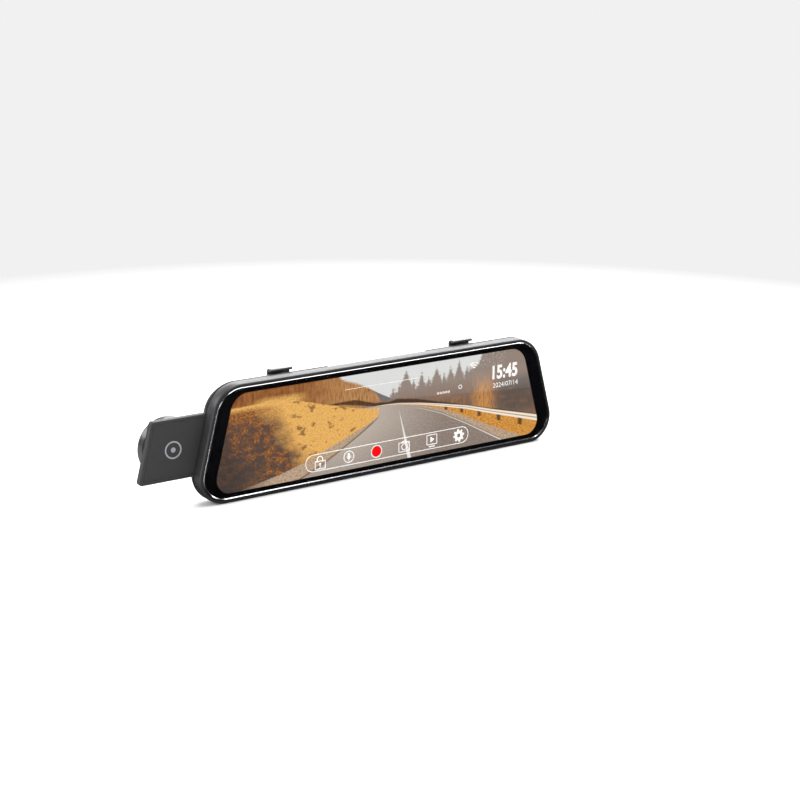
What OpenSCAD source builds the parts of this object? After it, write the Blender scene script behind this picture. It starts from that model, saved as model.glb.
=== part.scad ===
// Rear-view-mirror dash camera with a slide-out front camera.
// Origin: centre of the plane where the two rest pads press on the car's own mirror.
// +X along the width, +Y towards the windscreen, +Z up. The screen faces -Y.
// Depths are measured from the front of the bezel ring, towards the windscreen.

/* [Body] */
// Width at mid-height, in mm
body_w = 244.2; // [240:0.1:300]
// Height of the front frame
body_h = 69; // [66:0.1:84]
// Lean of both ends from the vertical, in degrees
end_lean = 14.9; // [5:0.1:18]
// Radius of the upper corners
top_corner_r = 19; // [12:0.5:22]
// Radius of the lower corners
bottom_corner_r = 16; // [12:0.5:22]
// Depth of the frame's side wall, up to the parting groove
side_depth = 8.6; // [8:0.1:10]
// Wall of the front frame
frame_wall = 1.8; // [1.2:0.1:2.4]
// Width and depth of the parting groove between frame and shell
groove = 0.8; // [0.4:0.1:1.2]

/* [Screen] */
// Inset of the bezel ring from the outer edge
ring_inset = 1.7; // [1.2:0.1:2.5]
// Width of the bezel ring
ring_w = 1.5; // [0.8:0.1:2]
// Thickness of the mirror glass
glass_t = 1.1; // [0.7:0.1:1.3]
// How far the glass lies behind the front of the ring
glass_sink = 0.35; // [0.1:0.05:0.4]
// Thickness of the adhesive gasket behind the glass
gasket_t = 0.3; // [0.2:0.1:0.5]
// Thickness of the display panel
panel_t = 2; // [1.2:0.1:2.4]
// Thickness of the backlight unit
backlight_t = 2.65; // [1.8:0.05:3]
// Black border above and below the picture, from the outer edge
picture_edge = 5.6; // [5:0.1:9]
// Black border at the ends of the picture, from the outer edge
picture_end = 11.3; // [8:0.1:16]
// Radius of the picture's upper corners
picture_top_r = 12; // [4:0.5:14]
// Radius of the picture's lower corners
picture_bottom_r = 9; // [4:0.5:14]

/* [Back] */
// Depth of the flat back, from the front of the ring
back_depth = 15.5; // [15.3:0.1:19]
// Height of the slope that blends the edge into the flat back
slope_rise = 5.6; // [4:0.1:5.8]
// Width of the slope at the upper and lower edges
slope_z = 11.5; // [8:0.1:14]
// Width of the rounding at the ends
slope_x = 3.5; // [2:0.1:6]
// Wall of the back shell
shell_wall = 1.8; // [1.4:0.1:2]
// Half width of the ledge that holds the ports
ledge_half = 36; // [34:0.5:44]
// How far the ledge lies below the upper edge
ledge_drop = 3.3; // [2.5:0.1:4.5]
// Half width of the speaker panel at its top
panel_top_half = 29.5; // [26:0.5:33]
// How far the speaker panel flares out at each end
panel_flare = 19; // [10:0.5:20]
// Thickness of the speaker panel
panel_plate_t = 1.2; // [0.8:0.1:1.3]

/* [Grille] */
// Holes in the lower row; the upper row has one fewer
grille_count = 17; // [9:2:17]
// Distance between holes in a row
grille_pitch = 3.2; // [2.4:0.1:3.2]
// Distance between the two rows
grille_row = 1.9; // [1.7:0.1:2.4]
// Radius of a grille hole
grille_r = 0.6; // [0.4:0.05:0.7]

/* [Camera slide] */
// Height of the sliding plate
slide_h = 36; // [30:0.1:44]
// How far the plate stands out at mid-height, fully open
slide_reach = 33.6; // [30:0.1:36]
// Travel of the slide
slide_travel = 35; // [29:0.1:36]
// Length of the plate at mid-height
slide_len = 77.5; // [74:0.5:80]
// Clearance round the sliding plate
slide_gap = 0.3; // [0.2:0.05:0.4]
// Wall of the slide rails
rail_wall = 1.2; // [0.9:0.1:1.3]

/* [Lens] */
// Radius of the collar
collar_r = 18; // [15:0.1:18]
// Distance from the collar's widest circle to the plate's outer end, at mid-height
collar_margin = -0.5; // [-0.5:0.1:2]
// Height of the collar above the plate
collar_h = 5.2; // [5:0.1:6]
// Wall of the collar round the ball
collar_wall = 2.6; // [2.5:0.1:3.5]
// Radial clearance of the ball in its socket
ball_gap = 0.05; // [0.02:0.01:0.1]
// Step from the ball's front edge in to the foot of the barrel
barrel_step = 1.04; // [0.8:0.02:1.6]
// How much the barrel's radius shrinks towards its rim
barrel_taper = 2; // [1:0.1:2.4]
// How far the front rim flares out from the barrel
rim_flare = 0.7; // [0.4:0.1:1.2]
// Wall of the front rim round the front lens
rim_wall = 1.8; // [1.6:0.1:2.4]
// Distance from the ball's centre to the front rim
lens_reach = 16.4; // [15.5:0.1:19]

/* [Straps] */
// Distance of each strap bracket from the middle
strap_x = 65; // [64:0.5:72]
// Width of a bracket's bar
bar_w = 22.8; // [18:0.1:26]
// How far a bracket's bar runs on past its screws
bar_end = 1.9; // [1.8:0.1:4]
// Height of a bar above the flat back
bar_rise = 3.9; // [3.2:0.1:6]
// Thickness of the rest pad on each bar
pad_t = 0.6; // [0.4:0.1:1.5]
// Width of a strap hook
hook_w = 14.8; // [10:0.1:18]
// Thickness of a strap hook
hook_t = 1.8; // [1.4:0.1:2]
// Gap between a hook's arm and the edge of the body
hook_gap = 0.2; // [0.2:0.1:2]
// Length of a hook's arm, from its outer face
hook_arm = 5.3; // [4.4:0.1:5.6]

/* [Electronics] */
// Thickness of the middle plate
mid_plate_t = 1; // [0.6:0.1:1]
// Height of the board above the middle plate
standoff_h = 2; // [1.2:0.1:2.2]
// Thickness of the main board
board_t = 1.2; // [0.8:0.1:1.2]
// Width of the USB socket
usb_w = 8.94; // [8:0.02:9]
// Thickness of the USB socket
usb_t = 3.26; // [2.6:0.02:3.4]
// Width of the rear-camera socket
av_w = 5.6; // [5:0.1:6.4]
// Thickness of the rear-camera socket
av_t = 3.4; // [3.2:0.05:3.7]
// Radius of the bore in the rear-camera socket
av_bore_r = 1.3; // [1.25:0.01:1.4]
// Depth of the bore in the rear-camera socket
av_depth = 8; // [6:0.5:9]
// Wall of the socket's round nose
av_nose_wall = 0.4; // [0.3:0.05:0.45]
// Width of the memory card
card_w = 11; // [10.8:0.1:11.2]
// Length of the memory card
card_len = 15; // [14.8:0.1:15.2]
// Thickness of the memory card
card_t = 0.8; // [0.6:0.1:1]
// Length of the power button
button_w = 9; // [6:0.5:10]
// Thickness of the power button
button_t = 2.8; // [2.2:0.1:3]
// Travel of the power button
button_travel = 0.6; // [0.3:0.1:0.7]

/* [Hidden] */
$fn = 64;

// Colours
black = [0.05, 0.05, 0.055];
charcoal = [0.16, 0.16, 0.17];
satin = [0.22, 0.22, 0.23];
silver = [0.75, 0.76, 0.78];
steel = [0.6, 0.61, 0.63];
board_green = [0.06, 0.25, 0.14];
copper = [0.72, 0.45, 0.25];
lens_purple = [0.25, 0.15, 0.5];

// General clearances
clear = 0.2;
thin = 0.01;

// Outline of the body: half sizes at mid-height
lean_run = tan(end_lean);
half_w = body_w / 2;
half_h = body_h / 2;

// Depths of the stack behind the glass
glass_d = glass_sink;
gasket_d = glass_d + glass_t;
panel_d = gasket_d + gasket_t;
backlight_d = panel_d + panel_t;
mid_d = backlight_d + backlight_t;
mid_back = mid_d + mid_plate_t;
rim_back = side_depth + groove;
glass_inset = ring_inset + ring_w + 0.05;
flange_inset = glass_inset + 0.55;
display_inset = flange_inset + clear;
lip_inset = groove;

// Rails of the camera slide, measured from the middle
slide_half = slide_h / 2;
rail_in = slide_half + slide_gap;
rail_out = rail_in + rail_wall;

// Back of the body
slope_step = 9;
corner_steps = 10;
slope_sag = 0.05;
flat_half = half_h - slope_z;
shell_inner = back_depth - shell_wall;
seat_depth = back_depth + bar_rise + pad_t;
plateau_corner_r = 7;

// Ledge and speaker panel
ledge_z = half_h - ledge_drop;
ledge_floor = 1.6;
ledge_under = ledge_z - ledge_floor;
panel_bottom_z = 12.5;
panel_plate_drop = 0.6;
panel_top_z = ledge_z - panel_plate_drop;
island_z = max(flat_half - 2, rail_out + clear);
grille_z = 17.5;
mic_gap = 4.3;
mic_x = -(grille_count - 1) / 2 * grille_pitch - mic_gap;
mesh_t = 0.2;
window_half = (grille_count - 1) / 2 * grille_pitch + 1.2;
window_h = 6;
bay_z = grille_z + window_h / 2;
island_d = shell_inner - 1.7;
ledge_wall = 1.5;
ledge_root = 0.6;

// Speaker
speaker_x = -10;
speaker_half = [15, 6];
speaker_top = shell_inner - clear;
basket_wall = 1.2;

// Camera slide
slide_front = rim_back + clear;
slide_back = shell_inner - slide_gap;
slide_t = slide_back - slide_front;
slide_end = half_w + slide_reach;
slide_inner = -slide_end + slide_len;
slide_corner = 2;
cover_t = 1.9;
tray_wall = 1.2;
tray_floor = 0.9;
rail_lip = 2;
rail_x0 = -half_w + 11;
rail_x1 = slide_inner + slide_travel;

// Lens
lens_x = -slide_end + collar_r + collar_margin;
collar_d = slide_back + collar_h;
ball_r = collar_r - collar_wall;
ball_d = slide_back + 0.6;
rim_depth = ball_d + lens_reach;
socket_r = ball_r + ball_gap;
ball_back = ball_d + 3;
barrel_d = ball_d + ball_r / 2;
barrel_r = ball_r * cos(30) - barrel_step;
waist_r = barrel_r - barrel_taper;
rim_r = waist_r + rim_flare;
front_lens_r = rim_r - rim_wall;
ball_wall = 1.3;
notch_r = collar_r + 0.7;
notch_flare = 2.8;
lens_bore_r = front_lens_r - 1.6;
cable_hole_r = lens_bore_r - 0.6;
rear_lens_r = 4;

// Strap brackets
hook_out = back_depth + bar_rise - 0.9;
hook_bend = 2.5;
hook_top = half_h + hook_gap + hook_t;
bracket_screw_r = 0.85;
bracket_head_r = 1.5;
bracket_head_h = 1;
boss_r = 1.8;
boss_h = 2.6;
boss_gap = 0.3;
bracket_screw_z = rail_out + boss_gap + boss_r;
bar_h = 2 * (bracket_screw_z + bar_end);
hook_root = bar_h / 2 - 1.5;

// Board
board_d = mid_back + standoff_h;
board_back = board_d + board_t;
board_x0 = rail_x1 + 5.2;
board_x1 = 84;
board_z = 24;
port_bay = 34;
board_top = ledge_under - 2;
bay_d = back_depth - panel_plate_t + thin;
usb_x = -8;
usb_len = 7.3;
av_x = 11;
av_floor = 0.8;
av_nose_r = av_bore_r + av_nose_wall;
av_nose_gap = 0.15;
av_mouth = ledge_z - 0.2;
card_x = 25;
card_seat = board_back + 0.5;
card_stand = 0.6;
button_x = -24;
button_stand = 0.5;
button_flange = 0.8;
reset_x = 2.2;
reset_r = 0.5;
port_gap = 0.25;
button_d = rim_back + 3;
standoff_r = 2;
board_screw_x = [board_x0 + 4, board_x1 - 4];
board_screw_z = [-20, 20];
board_screw_r = 0.7;
board_head_r = 1.3;
board_head_h = 0.8;
slide_screw_x = slide_inner - 5;
slide_screw_z = slide_half - 5;

// Parts on the board
processor_x = 50;
processor_half = 7;
processor_t = 1.2;
spreader_half = 12;
spreader_t = 0.6;
fin_count = 6;
fin_pitch = 4;
fin_w = 2;
memory_x = 72;
memory_z = 7.5;
memory_half = 5;
memory_t = 1;
mic_half = [1.8, 1.4];
mic_t = 1.1;
battery_x = board_x1 + 14;
battery_half = [11, 15];
connector_half = 8;
ribbon_x = 39;
ribbon_half = 9;
ribbon_z = -20.5;
ribbon_t = 0.2;
ribbon_gap = 0.7;
ribbon_land = 8.5;

// Helpers ---------------------------------------------------------------

// Centres and radii of the four corner circles of a leaning trapezoid
module corner_dots(w, h, rt, rb) {
    for (s = [-1, 1]) {
        translate([s * (w - lean_run * (h - rt) - rt / cos(end_lean)), h - rt])
            circle(rt);
        translate([s * (w + lean_run * (h - rb) - rb / cos(end_lean)), rb - h])
            circle(rb);
    }
}

// Trapezoid with round corners: w is its half width at mid-height, h its half height
module trapezoid(w, h, rt, rb) {
    xt = w - lean_run * (h - rt) - rt / cos(end_lean);
    xb = w + lean_run * (h - rb) - rb / cos(end_lean);
    side = [cos(end_lean), sin(end_lean)];
    right = [
        [xb, -h],
        [xb + rb * side[0], rb - h + rb * side[1]],
        [xt + rt * side[0], h - rt + rt * side[1]],
        [xt, h]
    ];
    left = [for (i = [3:-1:0]) [-right[i][0], right[i][1]]];
    union() {
        polygon(concat(right, left));
        corner_dots(w, h, rt, rb);
    }
}

// The body's outline, moved in by an even inset
module outline(inset = 0) {
    trapezoid(
        half_w - inset / cos(end_lean), half_h - inset,
        top_corner_r - inset, bottom_corner_r - inset
    );
}

// Band between two insets of the body's outline
module band(outer, inner) {
    difference() {
        outline(outer);
        outline(inner);
    }
}

// Visible picture area
module picture() {
    trapezoid(
        half_w - picture_end, half_h - picture_edge, picture_top_r, picture_bottom_r
    );
}

// Solid with an outline in X and Z, between two depths
module slab(d0, d1) {
    translate([0, d1 - seat_depth, 0])
        rotate([90, 0, 0])
            linear_extrude(d1 - d0)
                children();
}

// Solid with an outline in depth and Z, between two places along X
module along_x(x0, x1) {
    translate([x0, -seat_depth, 0])
        rotate([90, 0, 90])
            linear_extrude(x1 - x0)
                children();
}

// Box between two corners given as X, depth, Z
module block(a, b) {
    translate([a[0], a[1] - seat_depth, a[2]])
        cube([b[0] - a[0], b[1] - a[1], b[2] - a[2]]);
}

// Cylinder along the depth, from depth d0 to d1
module peg(x, z, d0, d1, r) {
    translate([x, d0 - seat_depth, z])
        rotate([-90, 0, 0])
            cylinder(h = d1 - d0, r = r);
}

// Cone along the depth, with radius r0 at depth d0 and r1 at d1
module cone(x, z, d0, d1, r0, r1) {
    translate([x, d0 - seat_depth, z])
        rotate([-90, 0, 0])
            cylinder(h = d1 - d0, r1 = r0, r2 = r1);
}

// Turned piece on the lens axis; points are [radius, depth]
module turned(points) {
    translate([lens_x, -seat_depth, 0])
        rotate([-90, 0, 0])
            rotate_extrude()
                polygon(points);
}

// Ball on the lens axis at the tilt centre
module tilt_ball(r) {
    translate([lens_x, ball_d - seat_depth, 0])
        rotate([-90, 0, 0])
            sphere(r);
}

// Upright slot for a port: w along X, t along the depth, with round ends
module port_slot(x, d, w, t, z0, z1) {
    translate([x, d - seat_depth, z0])
        linear_extrude(z1 - z0)
            union() {
                square([w - t, t], center = true);
                for (s = [-1, 1])
                    translate([s * (w - t) / 2, 0])
                        circle(t / 2);
            }
}

// Screw along the depth with its head at the windscreen side and a cross recess
module screw(x, z, d0, d1, r, head_r, head_h) {
    difference() {
        union() {
            peg(x, z, d0, d1, r);
            peg(x, z, d1, d1 + head_h, head_r);
        }
        for (arm = [[head_r * 0.6, 0.15], [0.15, head_r * 0.6]])
            block(
                [x - arm[0], d1 + head_h / 2, z - arm[1]],
                [x + arm[0], d1 + head_h + 1, z + arm[1]]
            );
    }
}

// Front ----------------------------------------------------------------

module front_frame() {
    color(satin)
        union() {
            slab(glass_sink + 0.5, side_depth)
                band(0, frame_wall);
            slab(side_depth, rim_back)
                band(lip_inset, frame_wall);
            slab(panel_d, mid_d)
                band(frame_wall - thin, flange_inset);
            block(
                [-ledge_half, mid_back + clear, ledge_z - 0.4],
                [ledge_half, rim_back, half_h - frame_wall + thin]
            );
        }
}

module bezel_ring() {
    color(silver)
        union() {
            slab(0, panel_d)
                band(ring_inset + 0.2, ring_inset + ring_w);
            slab(glass_sink + 0.4, panel_d)
                band(frame_wall + 0.03, ring_inset + ring_w);
        }
}

module mirror_glass() {
    color(black)
        slab(glass_d, gasket_d)
            outline(glass_inset);
}

module display_gasket() {
    color(black)
        slab(gasket_d, panel_d)
            difference() {
                outline(glass_inset);
                picture();
            }
}

module display_panel() {
    color([0.75, 0.55, 0.3])
        slab(panel_d, backlight_d)
            outline(display_inset);
}

module backlight() {
    color(silver)
        slab(backlight_d, mid_d)
            outline(display_inset);
}

module mid_plate() {
    color(steel)
        difference() {
            union() {
                slab(mid_d, mid_back)
                    outline(frame_wall + 0.1);
                for (x = board_screw_x, z = board_screw_z)
                    peg(x, z, mid_back - thin, board_d, standoff_r);
            }
            for (x = board_screw_x, z = board_screw_z)
                peg(x, z, mid_d - 1, board_d + 1, board_screw_r);
            block(
                [ribbon_x - ribbon_half - ribbon_gap, mid_d - 1, ribbon_z - ribbon_gap],
                [ribbon_x + ribbon_half + ribbon_gap, mid_back + 1, ribbon_z + ribbon_gap]
            );
        }
}

// Back -----------------------------------------------------------------

// Points of an outline whose corners have a fixed number of steps, clockwise from the upper right
function outline_ring(w, h, rt, rb) =
    let (
        top = [w - lean_run * (h - rt) - rt / cos(end_lean), h - rt],
        low = [w + lean_run * (h - rb) - rb / cos(end_lean), rb - h],
        right = concat(
            [for (i = [0:corner_steps]) corner_point(top, rt, 90 + (end_lean - 90) * i / corner_steps)],
            [for (i = [0:corner_steps]) corner_point(low, rb, end_lean - (90 + end_lean) * i / corner_steps)]
        )
    )
    concat(right, [for (i = [len(right) - 1:-1:0]) [-right[i][0], right[i][1]]]);

function corner_point(centre, r, angle) = centre + r * [cos(angle), sin(angle)];

// One ring of the back's form at angle t of the slope; k is the distance in from the outer skin
function shell_ring(k, t) =
    outline_ring(
        half_w - k / cos(end_lean) - slope_x * (1 - cos(t)),
        half_h - k - slope_z * (1 - cos(t)),
        plateau_corner_r + (top_corner_r - k - plateau_corner_r) * cos(t),
        plateau_corner_r + (bottom_corner_r - k - plateau_corner_r) * cos(t)
    );

// Depth of the back's inner face at height z; the sag keeps clear of its flat facets
function inner_depth(z) =
    let (c = max(0, 1 - (half_h - shell_wall - z) / slope_z))
    shell_inner - slope_rise * (1 - sqrt(1 - c * c)) - (c > 0 ? slope_sag : 0);

// Form of the back; k is 0 for the outside and the wall for the inside
module shell_form(k, front) {
    angles = concat([0], [for (t = [0:slope_step:90]) t]);
    depths = concat([front], [for (t = [0:slope_step:90]) back_depth - k - slope_rise * (1 - sin(t))]);
    count = 4 * (corner_steps + 1);
    last = len(angles) - 1;
    polyhedron(
        points = [
            for (r = [0:last])
                for (p = shell_ring(k, angles[r]))
                    [p[0], depths[r] - seat_depth, p[1]]
        ],
        faces = concat(
            [[for (i = [0:count - 1]) i]],
            [[for (i = [count - 1:-1:0]) last * count + i]],
            [
                for (r = [0:last - 1])
                    for (i = [0:count - 1])
                        for (half = [0, 1])
                            let (
                                a = r * count + i,
                                a_next = r * count + (i + 1) % count,
                                b = a + count,
                                b_next = a_next + count
                            )
                            half == 0 ? [a, b, b_next] : [a, b_next, a_next]
            ]
        ),
        convexity = 4
    );
}

// Half width of the speaker panel and its island, flaring out towards the flat back
function flare(z, top, low) =
    let (s = min(1, max(0, (top - z) / (top - low))))
    panel_top_half + panel_flare * s * s * (3 - 2 * s);

// Outline of the island and of the panel set in it
module flared(top, bottom, margin) {
    steps = 12;
    right = [
        for (i = [0:steps])
            let (z = top - (top - flat_half) * i / steps)
            [flare(z, top, flat_half) + margin, z]
    ];
    left = [for (i = [steps:-1:0]) [-right[i][0], right[i][1]]];
    polygon(concat(right, [[right[steps][0], bottom], [-right[steps][0], bottom]], left));
}

// Opening in the back and in the end wall that the camera slide runs in
module slide_notch() {
    run = half_w + 40;
    retracted_x = lens_x + slide_travel;
    block([-run, rim_back - thin, -rail_in], [retracted_x, back_depth + 1, rail_in]);
    cone(retracted_x, 0, slide_back, back_depth + thin, notch_r, notch_r + notch_flare);
    along_x(-run, retracted_x)
        polygon([
            [slide_back, -notch_r],
            [back_depth + thin, -notch_r - notch_flare],
            [back_depth + thin, notch_r + notch_flare],
            [slide_back, notch_r]
        ]);
}

module back_shell() {
    color(charcoal)
        difference() {
            union() {
                difference() {
                    shell_form(0, rim_back);
                    shell_form(shell_wall, rim_back - 1);
                }
                block(
                    [-ledge_half - ledge_wall, rim_back, ledge_under],
                    [ledge_half + ledge_wall, inner_depth(ledge_under) + ledge_root, ledge_z + 0.5]
                );
                for (s = [-1, 1])
                    mirror([s > 0 ? 0 : 1, 0, 0])
                        block(
                            [ledge_half - 0.5, rim_back, ledge_under],
                            [ledge_half + ledge_wall, inner_depth(ledge_z) + 0.15, half_h - shell_wall / 2]
                        );
                slab(island_d, back_depth)
                    flared(ledge_z, island_z, 1.2);
                for (s = [-1, 1], v = [-1, 1])
                    peg(s * strap_x, v * bracket_screw_z, shell_inner - boss_h, shell_inner + thin, boss_r);
            }
            block([-ledge_half, rim_back - 1, ledge_z], [ledge_half, back_depth + 1, half_h + 1]);
            block([-port_bay, island_d - 1, 0], [port_bay, shell_inner, ledge_under]);
            slab(back_depth - panel_plate_t, back_depth + 1)
                flared(panel_top_z, panel_bottom_z, 0);
            block(
                [-window_half, shell_inner - 1, grille_z - window_h / 2],
                [window_half, back_depth, grille_z + window_h / 2]
            );
            block([-port_bay, shell_inner - 1, bay_z], [av_x + av_w, bay_d, ledge_under]);
            peg(mic_x, grille_z - grille_row / 2, shell_inner - 1, back_depth, 1);
            port_slot(
                usb_x, board_back + usb_t / 2, usb_w + 2 * port_gap, usb_t + port_gap, board_top, ledge_z + 1
            );
            translate([av_x, board_back + av_t / 2 - seat_depth, board_top])
                cylinder(h = 6, r = av_nose_r + av_nose_gap);
            port_slot(card_x, card_seat + card_t / 2, card_w + 1.2, card_t + 0.8, board_top, ledge_z + 1);
            port_slot(
                button_x, button_d, button_w + 2 * port_gap, button_t + 2 * port_gap, board_top, ledge_z + 1
            );
            translate([reset_x, button_d - seat_depth, board_top])
                cylinder(h = 6, r = reset_r);
            for (s = [-1, 1], v = [-1, 1])
                peg(
                    s * strap_x, v * bracket_screw_z,
                    shell_inner - boss_h - 1, back_depth + 1, bracket_screw_r
                );
            slide_notch();
        }
}

module speaker_panel() {
    color(charcoal)
        difference() {
            slab(back_depth - panel_plate_t, back_depth)
                flared(panel_top_z, panel_bottom_z, -0.1);
            for (i = [0:grille_count - 1])
                peg(
                    (i - (grille_count - 1) / 2) * grille_pitch, grille_z - grille_row / 2,
                    back_depth - panel_plate_t - 1, back_depth + 1, grille_r
                );
            for (i = [0:grille_count - 2])
                peg(
                    (i - (grille_count - 2) / 2) * grille_pitch, grille_z + grille_row / 2,
                    back_depth - panel_plate_t - 1, back_depth + 1, grille_r
                );
            peg(mic_x, grille_z - grille_row / 2, back_depth - panel_plate_t - 1, back_depth + 1, grille_r);
        }
}

module grille_mesh() {
    color(black)
        block(
            [-window_half + clear, back_depth - panel_plate_t - mesh_t, grille_z - window_h / 2 + clear],
            [window_half - clear, back_depth - panel_plate_t, grille_z + window_h / 2 - clear]
        );
}

// Speaker --------------------------------------------------------------

// Rounded rectangle in X and Z
module rounded_box(x, z, hx, hz, r) {
    union() {
        translate([x, z])
            square([2 * hx - 2 * r, 2 * hz], center = true);
        translate([x, z])
            square([2 * hx, 2 * hz - 2 * r], center = true);
        for (s = [-1, 1], v = [-1, 1])
            translate([x + s * (hx - r), z + v * (hz - r)])
                circle(r);
    }
}

module speaker_basket() {
    color(black)
        difference() {
            slab(board_back, speaker_top)
                rounded_box(speaker_x, grille_z, speaker_half[0], speaker_half[1], 3);
            slab(board_back + 1, speaker_top + 1)
                rounded_box(
                    speaker_x, grille_z, speaker_half[0] - basket_wall, speaker_half[1] - basket_wall, 2
                );
        }
}

module speaker_cone() {
    color(steel)
        difference() {
            slab(board_back + 1.6, speaker_top - 0.5)
                rounded_box(
                    speaker_x, grille_z, speaker_half[0] - basket_wall, speaker_half[1] - basket_wall, 2
                );
            slab(speaker_top - 1, speaker_top)
                rounded_box(speaker_x, grille_z, speaker_half[0] - 3, speaker_half[1] - 3, 1.5);
        }
}

// Strap brackets -------------------------------------------------------

// Profile of a hook in depth and Z: stem, round bend and arm
module hook_profile() {
    stem_top = hook_top - hook_bend;
    bend_d = hook_out - hook_bend;
    tip_d = hook_out - hook_arm + hook_t / 2;
    union() {
        translate([hook_out - hook_t, hook_root])
            square([hook_t, stem_top - hook_root]);
        intersection() {
            difference() {
                translate([bend_d, stem_top])
                    circle(hook_bend);
                translate([bend_d, stem_top])
                    circle(hook_bend - hook_t);
            }
            translate([bend_d, stem_top])
                square(hook_bend + 1);
        }
        translate([tip_d, hook_top - hook_t])
            square([bend_d - tip_d, hook_t]);
        translate([tip_d, hook_top - hook_t / 2])
            circle(hook_t / 2);
    }
}

module strap_bracket(s) {
    color(satin)
        difference() {
            union() {
                slab(back_depth, back_depth + bar_rise)
                    rounded_box(s * strap_x, 0, bar_w / 2, bar_h / 2, 1);
                for (v = [0, 1])
                    mirror([0, 0, v])
                        along_x(s * strap_x - hook_w / 2, s * strap_x + hook_w / 2)
                            hook_profile();
            }
            for (v = [-1, 1]) {
                peg(
                    s * strap_x, v * bracket_screw_z,
                    back_depth - 1, back_depth + bar_rise + 1, bracket_screw_r
                );
                peg(
                    s * strap_x, v * bracket_screw_z,
                    back_depth + bar_rise - bracket_head_h - clear, back_depth + bar_rise + 1,
                    bracket_head_r + 0.1
                );
            }
        }
}

module strap_bracket_left() {
    strap_bracket(-1);
}

module strap_bracket_right() {
    strap_bracket(1);
}

module rest_pad(s) {
    color(black)
        slab(back_depth + bar_rise, seat_depth)
            rounded_box(s * strap_x, 0, bar_w / 2 - 0.6, bar_h / 2 - 0.6, 0.8);
}

module rest_pad_left() {
    rest_pad(-1);
}

module rest_pad_right() {
    rest_pad(1);
}

module bracket_screws() {
    color(steel)
        for (s = [-1, 1], v = [-1, 1])
            screw(
                s * strap_x, v * bracket_screw_z,
                shell_inner - boss_h, back_depth + bar_rise - bracket_head_h - clear,
                bracket_screw_r, bracket_head_r, bracket_head_h
            );
}

// Electronics ----------------------------------------------------------

module main_board() {
    color(board_green)
        difference() {
            union() {
                block([board_x0, board_d, -board_z], [board_x1, board_back, board_z]);
                block([-port_bay + 1, board_d, board_z - 1], [port_bay - 1, board_back, board_top]);
            }
            for (x = board_screw_x, z = board_screw_z)
                peg(x, z, board_d - 1, board_back + 1, board_screw_r);
        }
}

module board_screws() {
    color(steel)
        for (x = board_screw_x, z = board_screw_z)
            screw(x, z, mid_d + clear, board_back, board_screw_r, board_head_r, board_head_h);
}

module processor() {
    color(black)
        block(
            [processor_x - processor_half, board_back, -processor_half],
            [processor_x + processor_half, board_back + processor_t, processor_half]
        );
}

module heat_spreader() {
    base = board_back + processor_t;
    fin_x0 = processor_x - ((fin_count - 1) * fin_pitch + fin_w) / 2;
    color(silver)
        union() {
            block(
                [processor_x - spreader_half, base, -spreader_half],
                [processor_x + spreader_half, base + spreader_t, spreader_half]
            );
            for (i = [0:fin_count - 1])
                block(
                    [fin_x0 + i * fin_pitch, base + spreader_t - thin, -spreader_half],
                    [fin_x0 + i * fin_pitch + fin_w, shell_inner - 0.4, spreader_half]
                );
        }
}

module memory_chips() {
    color(black)
        for (v = [-1, 1])
            block(
                [memory_x - memory_half, board_back, v * memory_z - memory_half],
                [memory_x + memory_half, board_back + memory_t, v * memory_z + memory_half]
            );
}

// Row of equal parts on the board: size is width, height off the board and length
module part_row(x, z, count, pitch, size) {
    for (i = [0:count - 1])
        block([x + i * pitch, board_back, z], [x + i * pitch + size[0], board_back + size[1], z + size[2]]);
}

module board_parts() {
    color(copper)
        union() {
            part_row(-32, -6, 7, 5, [2.4, 0.9, 1.6]);
            part_row(4, -20, 4, 7.5, [5, 2, 5]);
            part_row(6, 0, 5, 5, [2, 0.8, 1.2]);
        }
}

module microphone() {
    color(silver)
        block(
            [mic_x - mic_half[0], board_back, grille_z - mic_half[1]],
            [mic_x + mic_half[0], board_back + mic_t, grille_z + mic_half[1]]
        );
}

module battery() {
    color([0.35, 0.37, 0.4])
        slab(mid_back, shell_inner - 1.2)
            rounded_box(battery_x, 0, battery_half[0], battery_half[1], 2);
}

module display_ribbon() {
    color(copper)
        union() {
            block(
                [ribbon_x - ribbon_half, mid_d, ribbon_z - ribbon_t / 2],
                [ribbon_x + ribbon_half, board_d, ribbon_z + ribbon_t / 2]
            );
            block(
                [ribbon_x - ribbon_half, board_d - ribbon_t, ribbon_z - ribbon_t / 2],
                [ribbon_x + ribbon_half, board_d, ribbon_z + ribbon_land]
            );
        }
}

module camera_connector() {
    color([0.85, 0.84, 0.78])
        block([board_x0 + 1, board_back, -connector_half], [board_x0 + 5, board_back + 1.6, connector_half]);
}

module usb_port() {
    mouth = ledge_z - 0.3;
    mid = board_back + usb_t / 2;
    color(steel)
        union() {
            difference() {
                port_slot(usb_x, mid, usb_w, usb_t, mouth - usb_len, mouth);
                port_slot(usb_x, mid, usb_w - 0.6, usb_t - 0.6, mouth - usb_len + 1, mouth + 1);
            }
            block([usb_x - 3.3, mid - 0.35, mouth - usb_len + 0.9], [usb_x + 3.3, mid + 0.35, mouth - 0.8]);
        }
}

module av_port() {
    mid = board_back + av_t / 2;
    color(black)
        difference() {
            union() {
                block(
                    [av_x - av_w / 2, board_back, av_mouth - av_depth - av_floor],
                    [av_x + av_w / 2, board_back + av_t, ledge_under]
                );
                translate([av_x, mid - seat_depth, ledge_under - 1])
                    cylinder(h = av_mouth - ledge_under + 1, r = av_nose_r);
            }
            translate([av_x, mid - seat_depth, av_mouth - av_depth])
                cylinder(h = av_depth + 1, r = av_bore_r);
        }
}

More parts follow.
